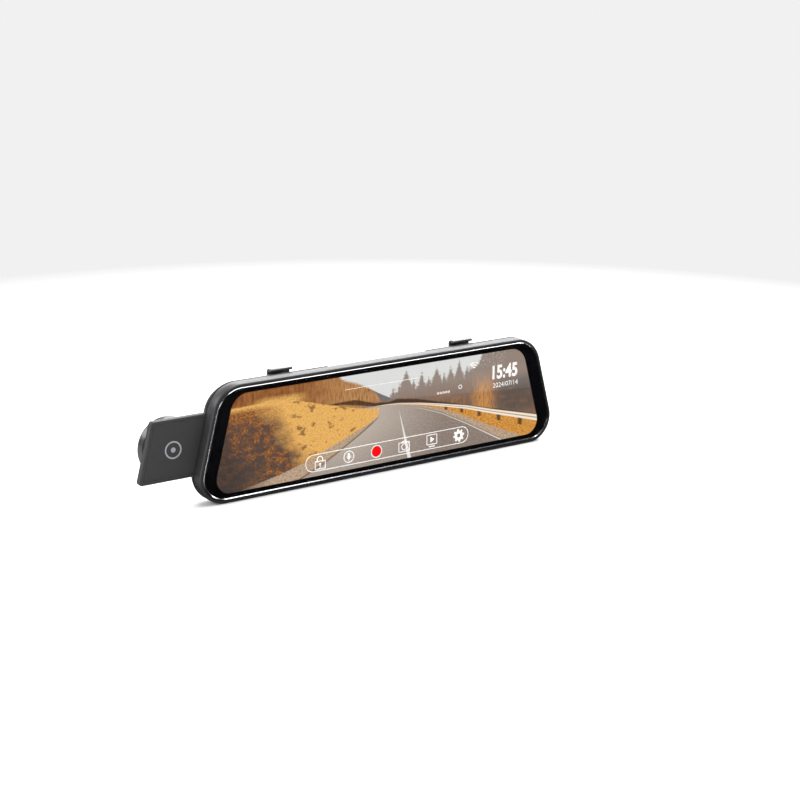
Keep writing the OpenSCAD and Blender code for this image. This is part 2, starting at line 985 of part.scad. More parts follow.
module card_socket() {
    mouth = ledge_under - 0.1;
    color(steel)
        difference() {
            block(
                [card_x - card_w / 2 - 0.9, board_back, mouth - card_len + 1.5],
                [card_x + card_w / 2 + 0.9, card_seat + card_t + 0.5, mouth]
            );
            block(
                [card_x - card_w / 2 - 0.1, card_seat - 0.1, mouth - card_len + 2.2],
                [card_x + card_w / 2 + 0.1, card_seat + card_t + 0.1, mouth + 1]
            );
        }
}

module memory_card() {
    top = ledge_z + card_stand;
    color(black)
        difference() {
            block(
                [card_x - card_w / 2, card_seat, top - card_len],
                [card_x + card_w / 2, card_seat + card_t, top]
            );
            block(
                [card_x + card_w / 2 - 1.2, card_seat - 1, top - card_len - 1],
                [card_x + card_w / 2 + 1, card_seat + card_t + 1, top - card_len + 6]
            );
        }
}

module power_switch() {
    top = ledge_under - 0.1 - button_flange - button_travel - 0.05;
    color(steel)
        block([button_x - 2.2, board_back, top - 3], [button_x + 2.2, button_d + 1.4, top]);
}

module power_button() {
    under = ledge_under - 0.1;
    color(black)
        union() {
            port_slot(button_x, button_d, button_w, button_t, under - thin, ledge_z + button_stand);
            port_slot(button_x, button_d, button_w + 1.4, button_t + 0.8, under - button_flange, under);
        }
}

// Camera slide ---------------------------------------------------------

module slide_rail(v) {
    color(satin)
        along_x(rail_x0, rail_x1)
            mirror([0, v > 0 ? 0 : 1])
                polygon([
                    [mid_back, rail_in - rail_lip],
                    [slide_front - clear, rail_in - rail_lip],
                    [slide_front - clear, rail_in],
                    [inner_depth(rail_in), rail_in],
                    [inner_depth(rail_out), rail_out],
                    [mid_back, rail_out]
                ]);
}

module rail_upper() {
    slide_rail(1);
}

module rail_lower() {
    slide_rail(-1);
}

// Outline of the sliding plate, with its outer end leaning as the body's ends do
module slide_outline(inset = 0) {
    r = max(slide_corner - inset, 0.4);
    h = slide_half - inset;
    x = -slide_end + inset / cos(end_lean);
    top = x + lean_run * (h - r) + r / cos(end_lean);
    low = x - lean_run * (h - r) + r / cos(end_lean);
    inner = slide_inner - inset;
    side = [cos(end_lean), -sin(end_lean)];
    union() {
        polygon([
            [inner, -h],
            [inner, h],
            [top, h],
            [top - r * side[0], h - r - r * side[1]],
            [low - r * side[0], r - h - r * side[1]],
            [low, -h]
        ]);
        translate([top, h - r])
            circle(r);
        translate([low, r - h])
            circle(r);
    }
}

module slide_plate() {
    color(charcoal)
        difference() {
            slab(slide_front, slide_back - cover_t)
                slide_outline();
            slab(slide_front + tray_floor, slide_back)
                slide_outline(tray_wall);
        }
}

module slide_cover() {
    color(satin)
        difference() {
            slab(slide_back - cover_t, slide_back)
                slide_outline();
            peg(lens_x, 0, slide_front, slide_back + 1, cable_hole_r);
            for (v = [-1, 1]) {
                peg(slide_screw_x, v * slide_screw_z, slide_front, slide_back + 1, board_screw_r);
                peg(
                    slide_screw_x, v * slide_screw_z, slide_back - board_head_h, slide_back + 1, board_head_r
                );
            }
        }
}

module slide_screws() {
    color(steel)
        for (v = [-1, 1])
            screw(
                slide_screw_x, v * slide_screw_z, slide_front + tray_floor, slide_back - board_head_h,
                board_screw_r, board_head_r, board_head_h
            );
}

module camera_ribbon() {
    color(copper)
        block(
            [lens_x - 5, slide_front + tray_floor, -6],
            [slide_inner - tray_wall - clear, slide_front + tray_floor + 0.3, 6]
        );
}

// Lens -----------------------------------------------------------------

module camera_collar() {
    mouth = collar_d + 0.9;
    color(satin)
        difference() {
            turned([
                [ball_r - 3, slide_back],
                [collar_r - 0.5, slide_back],
                [collar_r, collar_d - 0.9],
                [collar_r, collar_d],
                [collar_r - 2.4, mouth],
                [ball_r - 3, mouth]
            ]);
            tilt_ball(socket_r);
        }
}

module lens_ball() {
    color(charcoal)
        difference() {
            intersection() {
                tilt_ball(ball_r);
                peg(lens_x, 0, ball_back, barrel_d, ball_r + 1);
            }
            tilt_ball(ball_r - ball_wall);
            peg(lens_x, 0, ball_back - 1, barrel_d + 1, barrel_r - 1.6);
        }
}

module lens_barrel() {
    color(charcoal)
        difference() {
            turned([
                [0, barrel_d],
                [barrel_r, barrel_d],
                [barrel_r, barrel_d + 0.6],
                [waist_r, rim_depth - 1.8],
                [rim_r - 0.2, rim_depth - 0.9],
                [rim_r, rim_depth - 0.5],
                [rim_r, rim_depth - 0.3],
                [0, rim_depth - 0.3]
            ]);
            peg(lens_x, 0, barrel_d - 1, rim_depth, lens_bore_r);
            peg(lens_x, 0, rim_depth - 2.2, rim_depth + 1, front_lens_r + 0.05);
        }
}

module lens_ring() {
    color(black)
        difference() {
            cone(lens_x, 0, rim_depth - 0.3, rim_depth, rim_r - 0.1, rim_r - 0.5);
            peg(lens_x, 0, rim_depth - 1, rim_depth + 1, front_lens_r - 0.15);
        }
}

// Front lens: flat behind, a shallow dome in front
module front_lens() {
    edge = rim_depth - 0.35;
    dome = 1.1;
    r = front_lens_r - 0.2;
    dome_r = (r * r + dome * dome) / (2 * dome);
    color(lens_purple)
        intersection() {
            peg(lens_x, 0, rim_depth - 2.2, edge + dome + 1, r);
            translate([lens_x, edge + dome - dome_r - seat_depth, 0])
                sphere(dome_r, $fn = 128);
        }
}

module inner_barrel() {
    bore_step = (lens_bore_r - 1 - rear_lens_r) / 3.25;
    color(black)
        difference() {
            peg(lens_x, 0, ball_d + 3.2, rim_depth - 2.25, lens_bore_r);
            for (step = [0:3])
                peg(lens_x, 0, rim_depth - 5 - step * 1.5, rim_depth, lens_bore_r - 1 - step * bore_step);
            peg(lens_x, 0, ball_d + 3, rim_depth, rear_lens_r);
        }
}

module rear_lens() {
    color(lens_purple)
        peg(lens_x, 0, rim_depth - 10.5, rim_depth - 9.5, rear_lens_r);
}

module image_sensor() {
    color([0.12, 0.2, 0.3])
        block([lens_x - 2.8, ball_d + 3.2, -2.1], [lens_x + 2.8, ball_d + 4, 2.1]);
}

module sensor_board() {
    color(board_green)
        peg(lens_x, 0, ball_d + 2.2, ball_d + 3.2, cable_hole_r);
}

front_frame();
bezel_ring();
mirror_glass();
display_gasket();
display_panel();
backlight();
mid_plate();
back_shell();
speaker_panel();
grille_mesh();
speaker_basket();
speaker_cone();
strap_bracket_left();
strap_bracket_right();
rest_pad_left();
rest_pad_right();
bracket_screws();
main_board();
board_screws();
processor();
heat_spreader();
memory_chips();
board_parts();
microphone();
battery();
display_ribbon();
camera_connector();
usb_port();
av_port();
card_socket();
power_switch();
rail_upper();
rail_lower();
power_button();
memory_card();
slide_plate();
slide_cover();
slide_screws();
camera_ribbon();
camera_collar();
lens_ball();
lens_barrel();
lens_ring();
front_lens();
inner_barrel();
rear_lens();
image_sensor();
sensor_board();
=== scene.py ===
"""Looks of a mirror-shaped dash camera with a slide-out front camera.

Every visible piece is built here with its real edges and rides on its CAD body; pieces
that stay as the CAD made them only get a finish. Sizes are in millimetres until a mesh is
made. A depth counts from the front of the bezel ring towards the windscreen.
"""

import logging
from dataclasses import dataclass, field
from enum import Enum
from math import acos, copysign, cos, pi, radians, sin, sqrt, tan
from typing import Callable, Iterable, Sequence

import bmesh
import bpy
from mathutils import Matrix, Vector


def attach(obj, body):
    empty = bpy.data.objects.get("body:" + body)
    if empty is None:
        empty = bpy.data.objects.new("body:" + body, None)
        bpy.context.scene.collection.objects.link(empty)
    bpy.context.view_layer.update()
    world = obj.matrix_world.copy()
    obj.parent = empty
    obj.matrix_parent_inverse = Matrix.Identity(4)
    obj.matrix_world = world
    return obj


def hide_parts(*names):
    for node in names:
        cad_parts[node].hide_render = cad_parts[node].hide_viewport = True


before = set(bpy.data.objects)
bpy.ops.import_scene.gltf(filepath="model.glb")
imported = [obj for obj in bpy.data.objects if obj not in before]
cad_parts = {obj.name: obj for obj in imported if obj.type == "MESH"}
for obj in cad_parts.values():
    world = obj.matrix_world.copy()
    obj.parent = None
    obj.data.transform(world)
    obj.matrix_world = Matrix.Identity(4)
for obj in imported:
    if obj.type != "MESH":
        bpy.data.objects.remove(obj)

MM = 0.001
SEAT_DEPTH = 20.0
LENS_X = -138.2
SIDE_LEAN = radians(14.9)

Point = tuple[float, float]
Ring = list[Vector]
Colour = tuple[float, float, float]

log = logging.getLogger("dash_camera")


class Body(str, Enum):
    """CAD bodies that pieces ride on."""

    HOUSING = "housing"
    KEY = "power_key"
    CARD = "card"
    SLIDE = "camera_slide"
    TURRET = "lens_turret"


# Geometry -------------------------------------------------------------------


def at(x: float, depth: float, z: float) -> Vector:
    """Point in the shared frame, in metres, from X, depth and Z in millimetres."""
    return Vector((x, depth - SEAT_DEPTH, z)) * MM


def rounded(path: Sequence[Point], radius: float | Sequence[float], steps: int = 4) -> list[Point]:
    """Round the corners of a closed path.

    Args:
        path: Corners of the path.
        radius: One radius, or one for each corner; 0 keeps a corner sharp.
        steps: Segments in each rounded corner.

    Returns:
        The path's points with an arc at each corner.
    """
    radii = [radius] * len(path) if isinstance(radius, (int, float)) else list(radius)
    points: list[Point] = []
    for i, (corner, r) in enumerate(zip(path, radii)):
        p = Vector(corner)
        back = Vector(path[i - 1]) - p
        on = Vector(path[(i + 1) % len(path)]) - p
        if r <= 0 or back.length < 1e-9 or on.length < 1e-9:
            points.append(tuple(p))
            continue
        half = acos(max(-1.0, min(1.0, back.normalized().dot(on.normalized())))) / 2
        if half > radians(89):
            points.append(tuple(p))
            continue
        run = min(r / tan(half), back.length * 0.49, on.length * 0.49)
        centre = p + (back.normalized() + on.normalized()).normalized() * (run / cos(half))
        start = p + back.normalized() * run - centre
        end = p + on.normalized() * run - centre
        swing = pi - 2 * half
        for k in range(steps + 1):
            t = k / steps
            point = centre + (start * sin((1 - t) * swing) + end * sin(t * swing)) / sin(swing)
            points.append(tuple(point))
    return points


@dataclass(frozen=True)
class Trapezoid:
    """Leaning outline with round corners, given by its half sizes at mid-height.

    Its points always come in the same order and number, so insets can be lofted.
    """

    half_w: float
    half_h: float
    top_r: float
    low_r: float
    lean: float = SIDE_LEAN
    steps: int = 14

    def loop(self, inset: float = 0.0, squeeze: float = 0.0) -> list[Point]:
        """Return the outline's X and Z points, moved in evenly.

        Args:
            inset: Distance in from the outline.
            squeeze: A further distance in along X alone.

        Returns:
            The points, always in the same order and number.
        """
        w, h = self.half_w - inset / cos(self.lean) - squeeze, self.half_h - inset
        right: list[Point] = []
        for upper in (True, False):
            r = max((self.top_r if upper else self.low_r) - inset, 0.35)
            run = tan(self.lean) * (h - r)
            centre = (w + (-run if upper else run) - r / cos(self.lean), h - r if upper else r - h)
            first, last = (pi / 2, self.lean) if upper else (self.lean, -pi / 2)
            for k in range(self.steps + 1):
                a = first + (last - first) * k / self.steps
                right.append((centre[0] + r * cos(a), centre[1] + r * sin(a)))
        return right + [(-x, z) for x, z in reversed(right)]


def ring_at(loop: Iterable[Point], depth: float) -> Ring:
    """Turn an outline in X and Z into a ring of points at one depth.

    Args:
        loop: Outline in X and Z.
        depth: Its depth.

    Returns:
        The ring's points.
    """
    return [at(x, depth, z) for x, z in loop]


def make_object(
    name: str, verts: Sequence[Vector], faces: Sequence[Sequence[int]], smooth: float = 35.0
) -> bpy.types.Object:
    """Make a mesh object with faces that point outwards.

    Args:
        name: Name of the piece.
        verts: Points in the shared frame, in metres.
        faces: Point numbers of each face.
        smooth: Edges sharper than this many degrees stay crisp.

    Returns:
        The new object, linked to the scene.
    """
    mesh = bpy.data.meshes.new(name)
    mesh.from_pydata([tuple(v) for v in verts], [], [list(f) for f in faces])
    work = bmesh.new()
    work.from_mesh(mesh)
    bmesh.ops.remove_doubles(work, verts=work.verts, dist=2e-7)
    bmesh.ops.dissolve_degenerate(work, edges=work.edges, dist=1e-7)
    bmesh.ops.recalc_face_normals(work, faces=work.faces)
    work.to_mesh(mesh)
    work.free()
    obj = bpy.data.objects.new(name, mesh)
    bpy.context.scene.collection.objects.link(obj)
    shade(obj, smooth)
    return obj


def shade(obj: bpy.types.Object, smooth: float = 35.0) -> bpy.types.Object:
    """Shade a piece smooth, with crisp edges above an angle in degrees.

    Args:
        obj: The piece.
        smooth: Edges sharper than this many degrees stay crisp.

    Returns:
        The same piece.
    """
    obj.data.shade_smooth()
    obj.data.set_sharp_from_angle(angle=radians(smooth))
    return obj


def loft(name: str, rings: Sequence[Ring], closed: bool = False, smooth: float = 35.0) -> bpy.types.Object:
    """Skin a row of rings that all have the same number of points.

    Args:
        name: Name of the piece.
        rings: The rings, in order.
        closed: Join the last ring to the first, as for a swept band. Otherwise both ends are capped.
        smooth: Edges sharper than this many degrees stay crisp.

    Returns:
        The new object.
    """
    count = len(rings[0])
    verts = [v for ring in rings for v in ring]
    faces: list[list[int]] = []
    for r in range(len(rings) if closed else len(rings) - 1):
        a, b = r * count, ((r + 1) % len(rings)) * count
        faces += [[a + i, a + (i + 1) % count, b + (i + 1) % count, b + i] for i in range(count)]
    if not closed:
        faces += [list(range(count)), [(len(rings) - 1) * count + i for i in range(count)]]
    return make_object(name, verts, faces, smooth)


def prism(
    name: str, loop: Sequence[Point], low: float, high: float, axis: str = "depth", smooth: float = 35.0
) -> bpy.types.Object:
    """Push an outline out into a solid.

    Args:
        name: Name of the piece.
        loop: Outline in X and Z, in depth and Z (axis "x"), or in X and depth (axis "z").
        low: Where the solid starts along its axis.
        high: Where it ends.
        axis: "depth", "x" or "z".
        smooth: Edges sharper than this many degrees stay crisp.

    Returns:
        The new object.
    """
    place: dict[str, Callable[[float, float, float], Vector]] = {
        "depth": lambda a, b, t: at(a, t, b),
        "x": lambda a, b, t: at(t, a, b),
        "z": lambda a, b, t: at(a, b, t),
    }
    return loft(name, [[place[axis](a, b, t) for a, b in loop] for t in (low, high)], smooth=smooth)


def lathe(
    name: str, profile: Sequence[Point], x: float, z: float = 0.0, segments: int = 96, smooth: float = 30.0
) -> bpy.types.Object:
    """Turn a closed profile of radius and depth about an axis along the depth.

    Args:
        name: Name of the piece.
        profile: Closed profile of radius and depth.
        x: Place of the axis along X.
        z: Height of the axis.
        segments: Steps round the axis.
        smooth: Edges sharper than this many degrees stay crisp.

    Returns:
        The new object.
    """
    rings = [
        [
            at(
                x + r * cos(2 * pi * k / segments), d, z + r * sin(2 * pi * k / segments)
            ) for k in range(segments)
        ]
        for r, d in profile
    ]
    return loft(name, rings, closed=True, smooth=smooth)


def screw_hole(x: float, z: float, steps: Sequence[float]) -> bpy.types.Object:
    """Cutter for a countersunk screw hole.

    Args:
        x: Place along X.
        z: Height.
        steps: Radius and start depth of the hole, then radius, start and end depth of the head's seat.

    Returns:
        The cutter.
    """
    hole_r, low, head_r, seat, high = steps
    profile = [(0.0, low), (hole_r, low), (hole_r, seat), (head_r, seat), (head_r, high), (0.0, high)]
    return lathe("cut", profile, x, z, 32)


def box_loop(x: float, z: float, half_x: float, half_z: float, r: float, steps: int = 5) -> list[Point]:
    """Outline of a rectangle with round corners.

    Args:
        x: Middle along X.
        z: Middle along Z.
        half_x: Half the width.
        half_z: Half the height.
        r: Corner radius.
        steps: Segments in each corner.

    Returns:
        The outline's points.
    """
    corners = [
        (x - half_x, z - half_z), (x + half_x, z - half_z), (x + half_x, z + half_z),
        (x - half_x, z + half_z)
    ]
    return rounded(corners, r, steps)


def circle_loop(x: float, z: float, r: float, steps: int = 32) -> list[Point]:
    """Outline of a circle.

    Args:
        x: Middle along X.
        z: Middle along Z.
        r: Radius.
        steps: Points on the circle.

    Returns:
        The outline's points.
    """
    return [(x + r * cos(2 * pi * k / steps), z + r * sin(2 * pi * k / steps)) for k in range(steps)]


def bake_modifiers(obj: bpy.types.Object, smooth: float = 35.0) -> bpy.types.Object:
    """Apply a piece's modifiers to its mesh.

    Args:
        obj: The piece.
        smooth: Edges sharper than this many degrees stay crisp.

    Returns:
        The same piece, without modifiers.
    """
    bpy.context.view_layer.update()
    found = obj.evaluated_get(bpy.context.evaluated_depsgraph_get())
    mesh = bpy.data.meshes.new_from_object(found)
    obj.modifiers.clear()
    obj.data = mesh
    return shade(obj, smooth)


def combine(
    obj: bpy.types.Object, tools: Sequence[bpy.types.Object], operation: str = "DIFFERENCE",
    smooth: float = 35.0
) -> bpy.types.Object:
    """Cut, join or intersect a piece with tool shapes, which are then removed.

    Args:
        obj: The piece.
        tools: Shapes that act on it, one after the other.
        operation: "DIFFERENCE", "UNION" or "INTERSECT".
        smooth: Edges sharper than this many degrees stay crisp.

    Returns:
        The same piece.
    """
    for tool in tools:
        modifier = obj.modifiers.new("tool", "BOOLEAN")
        modifier.object, modifier.operation, modifier.solver = tool, operation, "EXACT"
        modifier.use_self = False
    bake_modifiers(obj, smooth)
    for tool in tools:
        bpy.data.objects.remove(tool)
    return obj


def bevel(obj: bpy.types.Object, width: float, segments: int = 3, angle: float = 35.0) -> bpy.types.Object:
    """Round a piece's sharp edges by a width in millimetres.

    Args:
        obj: The piece.
        width: Width of the rounding.
        segments: Steps across it.
        angle: Edges sharper than this many degrees are rounded.

    Returns:
        The same piece.
    """
    modifier = obj.modifiers.new("edge", "BEVEL")
    modifier.width, modifier.segments = width * MM, segments
    modifier.limit_method, modifier.angle_limit = "ANGLE", radians(angle)
    modifier.use_clamp_overlap = True
    return bake_modifiers(obj, 50.0)


def join(name: str, parts: Sequence[bpy.types.Object]) -> bpy.types.Object:
    """Join shapes into one piece without merging their surfaces.

    Args:
        name: Name of the joined piece.
        parts: Shapes, which are then removed.

    Returns:
        The joined piece.
    """
    verts: list[Vector] = []
    faces: list[list[int]] = []
    for part in parts:
        start = len(verts)
        verts += [v.co.copy() for v in part.data.vertices]
        faces += [[start + i for i in p.vertices] for p in part.data.polygons]
        bpy.data.objects.remove(part)
    return make_object(name, verts, faces)


# Node graphs ------------------------------------------------------------------


def tint(code: str) -> Colour:
    """Linear colour of a six-figure colour code."""
    values = [int(code[i : i + 2], 16) / 255 for i in (0, 2, 4)]
    return tuple(v / 12.92 if v <= 0.04045 else ((v + 0.055) / 1.055) ** 2.4 for v in values)


class Amount:
    """A number that varies over a surface, so that shapes can be written as formulas."""

    def __init__(self, graph: "Graph", socket: bpy.types.NodeSocket) -> None:
        """Hold one output socket of a graph."""
        self.graph, self.socket = graph, socket

    def __add__(self, other: "Amount | float") -> "Amount":
        """Sum."""
        return self.graph.math("ADD", self, other)

    def __sub__(self, other: "Amount | float") -> "Amount":
        """Difference."""
        return self.graph.math("SUBTRACT", self, other)

    def __mul__(self, other: "Amount | float") -> "Amount":
        """Product."""
        return self.graph.math("MULTIPLY", self, other)

    def flipped(self) -> "Amount":
        """One minus the amount."""
        return self.graph.math("SUBTRACT", 1.0, self)

    def size(self) -> "Amount":
        """Amount without its sign."""
        return self.graph.math("ABSOLUTE", self)

    def above(self, low: "Amount | float", soft: float = 0.3) -> "Amount":
        """1 where the amount is above a limit and 0 below, blended over a soft width."""
        return self.graph.math("MULTIPLY_ADD", self - low, 1 / soft, 0.5, clamp=True)

    def below(self, high: "Amount | float", soft: float = 0.3) -> "Amount":
        """1 where the amount is below a limit and 0 above."""
        return self.above(high, soft).flipped()

    def between(self, low: "Amount | float", high: "Amount | float", soft: float = 0.3) -> "Amount":
        """1 between two limits."""
        return self.above(low, soft) * self.below(high, soft)


class Graph:
    """Short way to add and link the nodes of one tree."""

    def __init__(self, tree: bpy.types.NodeTree) -> None:
        """Start from a tree with no nodes."""
        self.tree = tree
        self.tree.nodes.clear()

    def add(
        self, kind: str, inputs: dict[str | int, object] | None = None, **settings: object
    ) -> bpy.types.Node:
        """Add a node.

        Args:
            kind: Blender's name for the node type.
            inputs: Values or sockets for the node's inputs.
            settings: Properties of the node.

        Returns:
            The node.
        """
        node = self.tree.nodes.new(kind)
        for key, value in settings.items():
            setattr(node, key, value)
        for key, value in (inputs or {}).items():
            self.feed(node.inputs[key], value)
        return node

    def finish(self, shader: bpy.types.Node) -> None:
        """Link a shader to the material's output."""
        self.add("ShaderNodeOutputMaterial", {0: shader.outputs[0]})

    def feed(self, slot: bpy.types.NodeSocket, value: object) -> None:
        """Link a socket to an input, or set the input's own value.

        Args:
            slot: The input.
            value: A socket, an amount, a number or a colour.
        """
        if isinstance(value, Amount):
            value = value.socket
        if isinstance(value, bpy.types.NodeSocket):
            self.tree.links.new(value, slot)
        elif isinstance(value, tuple) and slot.type == "RGBA":
            slot.default_value = (*value, 1.0)
        else:
            slot.default_value = value

    def math(self, operation: str, *values: object, clamp: bool = False) -> Amount:
        """Add a maths node.

        Args:
            operation: Blender's name for the operation.
            values: Numbers or amounts that it works on.
            clamp: Keep the result between 0 and 1.

        Returns:
            The result.
        """
        node = self.add("ShaderNodeMath", operation=operation, use_clamp=clamp)
        for slot, value in zip(node.inputs, values):
            self.feed(slot, value)
        return Amount(self, node.outputs[0])

    def mix(self, factor: object, a: object, b: object) -> bpy.types.NodeSocket:
        """Blend two colours.

        Args:
            factor: How much of the second colour shows.
            a: First colour.
            b: Second colour.

        Returns:
            The blended colour.
        """
        node = self.add("ShaderNodeMix", {0: factor, 6: a, 7: b}, data_type="RGBA")
        return node.outputs[2]

    def plane(self) -> tuple[Amount, Amount]:
        """X and Z of the surface in millimetres.

        Returns:
            X and Z.
        """
        coords = self.add("ShaderNodeTexCoord").outputs["Object"]
        parts = self.add("ShaderNodeSeparateXYZ", {0: coords})
        x, z = Amount(self, parts.outputs[0]), Amount(self, parts.outputs[2])
        return x * 1000.0, z * 1000.0

    def noise(
        self, x: Amount, z: Amount, size_x: float, size_z: float, detail: float = 3.0, seed: float = 0.0
    ) -> Amount:
        """Noise with separate feature sizes along X and Z, in millimetres, from 0 to 1.

        Args:
            x: X of the surface.
            z: Z of the surface.
            size_x: Feature size along X.
            size_z: Feature size along Z.
            detail: Layers of finer noise.
            seed: Place in the noise, so that patterns differ.

        Returns:
            The noise.
        """
        vector = self.add("ShaderNodeCombineXYZ", {0: x * (1 / size_x), 1: seed, 2: z * (1 / size_z)})
        node = self.add(
            "ShaderNodeTexNoise",
            {"Vector": vector.outputs[0], "Scale": 1.0, "Detail": detail, "Roughness": 0.6}
        )
        return Amount(self, node.outputs[0])

    def height_over(self, x: Amount, points: Sequence[Point]) -> Amount:
        """Height of a line given by a few points, as an amount that follows X.

        Args:
            x: X of the surface.
            points: X and Z of the line's corners.

        Returns:
            Z of the line at that X.
        """
        half, tall = 130.0, 45.0
        node = self.add("ShaderNodeFloatCurve", {1: self.math("MULTIPLY_ADD", x, 0.5 / half, 0.5)})
        curve = node.mapping.curves[0]
        while len(curve.points) < len(points):
            curve.points.new(0.5, 0.5)
        for dot, (px, pz) in zip(curve.points, sorted(points)):
            dot.location = (px / half / 2 + 0.5, pz / tall / 2 + 0.5)
            dot.handle_type = "VECTOR"
        node.mapping.update()
        return self.math("MULTIPLY_ADD", Amount(self, node.outputs[0]), 2 * tall, -tall)


def new_material(name: str) -> tuple[bpy.types.Material, Graph]:
    """Make an empty node material and the graph that fills it.

    Args:
        name: Name of the material.

    Returns:
        The material and its graph.
    """
    mat = bpy.data.materials.new(name)
    mat.use_nodes = True
    return mat, Graph(mat.node_tree)


def surface_group(
    name: str, inputs: dict[str, float], outputs: dict[str, str], build: Callable[[Graph, dict], dict]
) -> bpy.types.NodeTree:
    """Make a shared shader node group.

    Args:
        name: Name of the group.
        inputs: Number inputs with their defaults.
        outputs: Output names with "value" or "colour".
        build: Adds the nodes, and gets the graph and the inputs and gives the outputs.

    Returns:
        The group, made once.
    """
    if name in bpy.data.node_groups:
        return bpy.data.node_groups[name]
    group = bpy.data.node_groups.new(name, "ShaderNodeTree")
    for key, value in inputs.items():
        socket = group.interface.new_socket(key, in_out="INPUT", socket_type="NodeSocketFloat")
        socket.default_value = value
    for key, kind in outputs.items():
        kinds = {"value": "NodeSocketFloat", "colour": "NodeSocketColor"}
        group.interface.new_socket(key, in_out="OUTPUT", socket_type=kinds[kind])
    graph = Graph(group)
    start = graph.add("NodeGroupInput")
    made = build(graph, {key: start.outputs[key] for key in inputs})
    end = graph.add("NodeGroupOutput")
    for key, value in made.items():
        graph.feed(end.inputs[key], value)
    return group


def moulded_grain() -> bpy.types.NodeTree:
    """Grain of a moulded surface: fine spark texture, slow gloss changes and faint specks."""

    def build(g: Graph, given: dict) -> dict:
        """Add the grain's nodes.

        Args:
            g: Graph of the group.
            given: The group's input sockets by name.

        Returns:
            The outputs by name.
        """
        coords = g.add("ShaderNodeTexCoord").outputs["Object"]
        scale = g.math("DIVIDE", 1000.0, given["Size"])
        fine = g.add(
            "ShaderNodeTexNoise", {"Vector": coords, "Scale": scale, "Detail": 2.0, "Roughness": 0.7}
        )
        pits = g.add("ShaderNodeTexVoronoi", {"Vector": coords, "Scale": scale})
        slow = g.add(
            "ShaderNodeTexNoise", {"Vector": coords, "Scale": 45.0, "Detail": 4.0, "Roughness": 0.55}
        )
        specks = g.add("ShaderNodeTexNoise", {"Vector": coords, "Scale": 900.0, "Detail": 1.0})
        height = Amount(g, fine.outputs[0]) * 0.6 + Amount(g, pits.outputs[0]) * 0.4
        speck = Amount(g, specks.outputs[0]).above(0.74, 0.05)
        return {"Height": height, "Gloss": Amount(g, slow.outputs[0]), "Speck": speck}

    return surface_group(
        "moulded_grain", {"Size": 0.3}, {"Height": "value", "Gloss": "value", "Speck": "value"}, build
    )


@dataclass(frozen=True)
class Finish:
    """A surface finish and the material that shows it."""

    name: str
    colour: Colour
    rough: float = 0.4
    metallic: float = 0.0
    grain_size: float = 0.3
    grain_depth: float = 0.01
    gloss_change: float = 0.08
    specular: float = 0.5
    coat: float = 0.0
    coat_rough: float = 0.08
    glow: float = 0.0

    def material(self) -> bpy.types.Material:
        """Return the finish's material, made once.

        Returns:
            The material.
        """
        if self.name in bpy.data.materials:
            return bpy.data.materials[self.name]
        mat, g = new_material(self.name)
        shader = g.add("ShaderNodeBsdfPrincipled")
        grain = g.add("ShaderNodeGroup", node_tree=moulded_grain())
        grain.inputs["Size"].default_value = self.grain_size
        gloss, speck = Amount(g, grain.outputs["Gloss"]), grain.outputs["Speck"]
        dark = tuple(v * 0.9 for v in self.colour)
        pale = tuple(v * 1.12 + 0.002 for v in self.colour)
        base = g.mix(gloss, dark, pale)
        base = g.mix(Amount(g, speck) * 0.18, base, tuple(v * 0.6 + 0.06 for v in self.colour))
        g.feed(shader.inputs["Base Color"], base)
        g.feed(
            shader.inputs["Roughness"],
            g.math("MULTIPLY_ADD", gloss, self.gloss_change, self.rough - self.gloss_change / 2, clamp=True)
        )
        shader.inputs["Metallic"].default_value = self.metallic
        shader.inputs["Specular IOR Level"].default_value = self.specular
        shader.inputs["Coat Weight"].default_value = self.coat
        shader.inputs["Coat Roughness"].default_value = self.coat_rough
        if self.glow > 0:
            g.feed(shader.inputs["Emission Color"], base)
            shader.inputs["Emission Strength"].default_value = self.glow
        if self.grain_depth > 0:
            bump = g.add(
                "ShaderNodeBump",
                {"Height": grain.outputs["Height"], "Strength": 1.0, "Distance": self.grain_depth * MM}
            )
            g.feed(shader.inputs["Normal"], bump.outputs[0])
        g.finish(shader)
        return mat


SATIN = Finish("satin_black", tint("2B2B2C"), rough=0.38, grain_depth=0.006)
SHELL = Finish("shell_black", tint("232324"), rough=0.30, grain_size=0.22, grain_depth=0.009)
PLATE = Finish("plate_charcoal", tint("323233"), rough=0.52, grain_size=0.18, grain_depth=0.010)
GLOSS = Finish("gloss_black", tint("0C0C0D"), rough=0.14, grain_depth=0.0, gloss_change=0.04)
CHROME = Finish(
    "bright_ring", tint("D9DADC"), rough=0.16, metallic=1.0, grain_size=0.08, grain_depth=0.001,
    gloss_change=0.06
)
BRACKET = Finish(
    "bracket_satin", tint("3A3A3B"), rough=0.25, grain_size=0.2, grain_depth=0.004, specular=0.95
)
DOME = Finish("ball_satin", tint("202021"), rough=0.24, grain_depth=0.002, specular=0.85)
STAMPED = Finish("stamped_plate", tint("6E7073"), rough=0.55, metallic=0.4, grain_size=0.4, grain_depth=0.01)
SOFT = Finish("soft_pad", tint("1B1B1C"), rough=0.85, grain_size=0.5, grain_depth=0.06, specular=0.25)
BARREL = Finish("barrel_black", tint("1A1A1B"), rough=0.36, grain_size=0.2, grain_depth=0.006)
COLLAR = Finish("collar_satin", tint("29292A"), rough=0.3, grain_size=0.2, grain_depth=0.004, specular=0.8)
INNER = Finish("inner_black", tint("070708"), rough=0.3, grain_depth=0.004, specular=0.4)
SCREW = Finish("screw_steel", tint("8C8D90"), rough=0.3, metallic=1.0, grain_size=0.1, grain_depth=0.003)
STEEL = Finish("pressed_steel", tint("A4A6A9"), rough=0.32, metallic=1.0, grain_size=0.15, grain_depth=0.003)
COPPER = Finish("copper_film", tint("B0703A"), rough=0.35, metallic=0.7, grain_size=0.4, grain_depth=0.004)
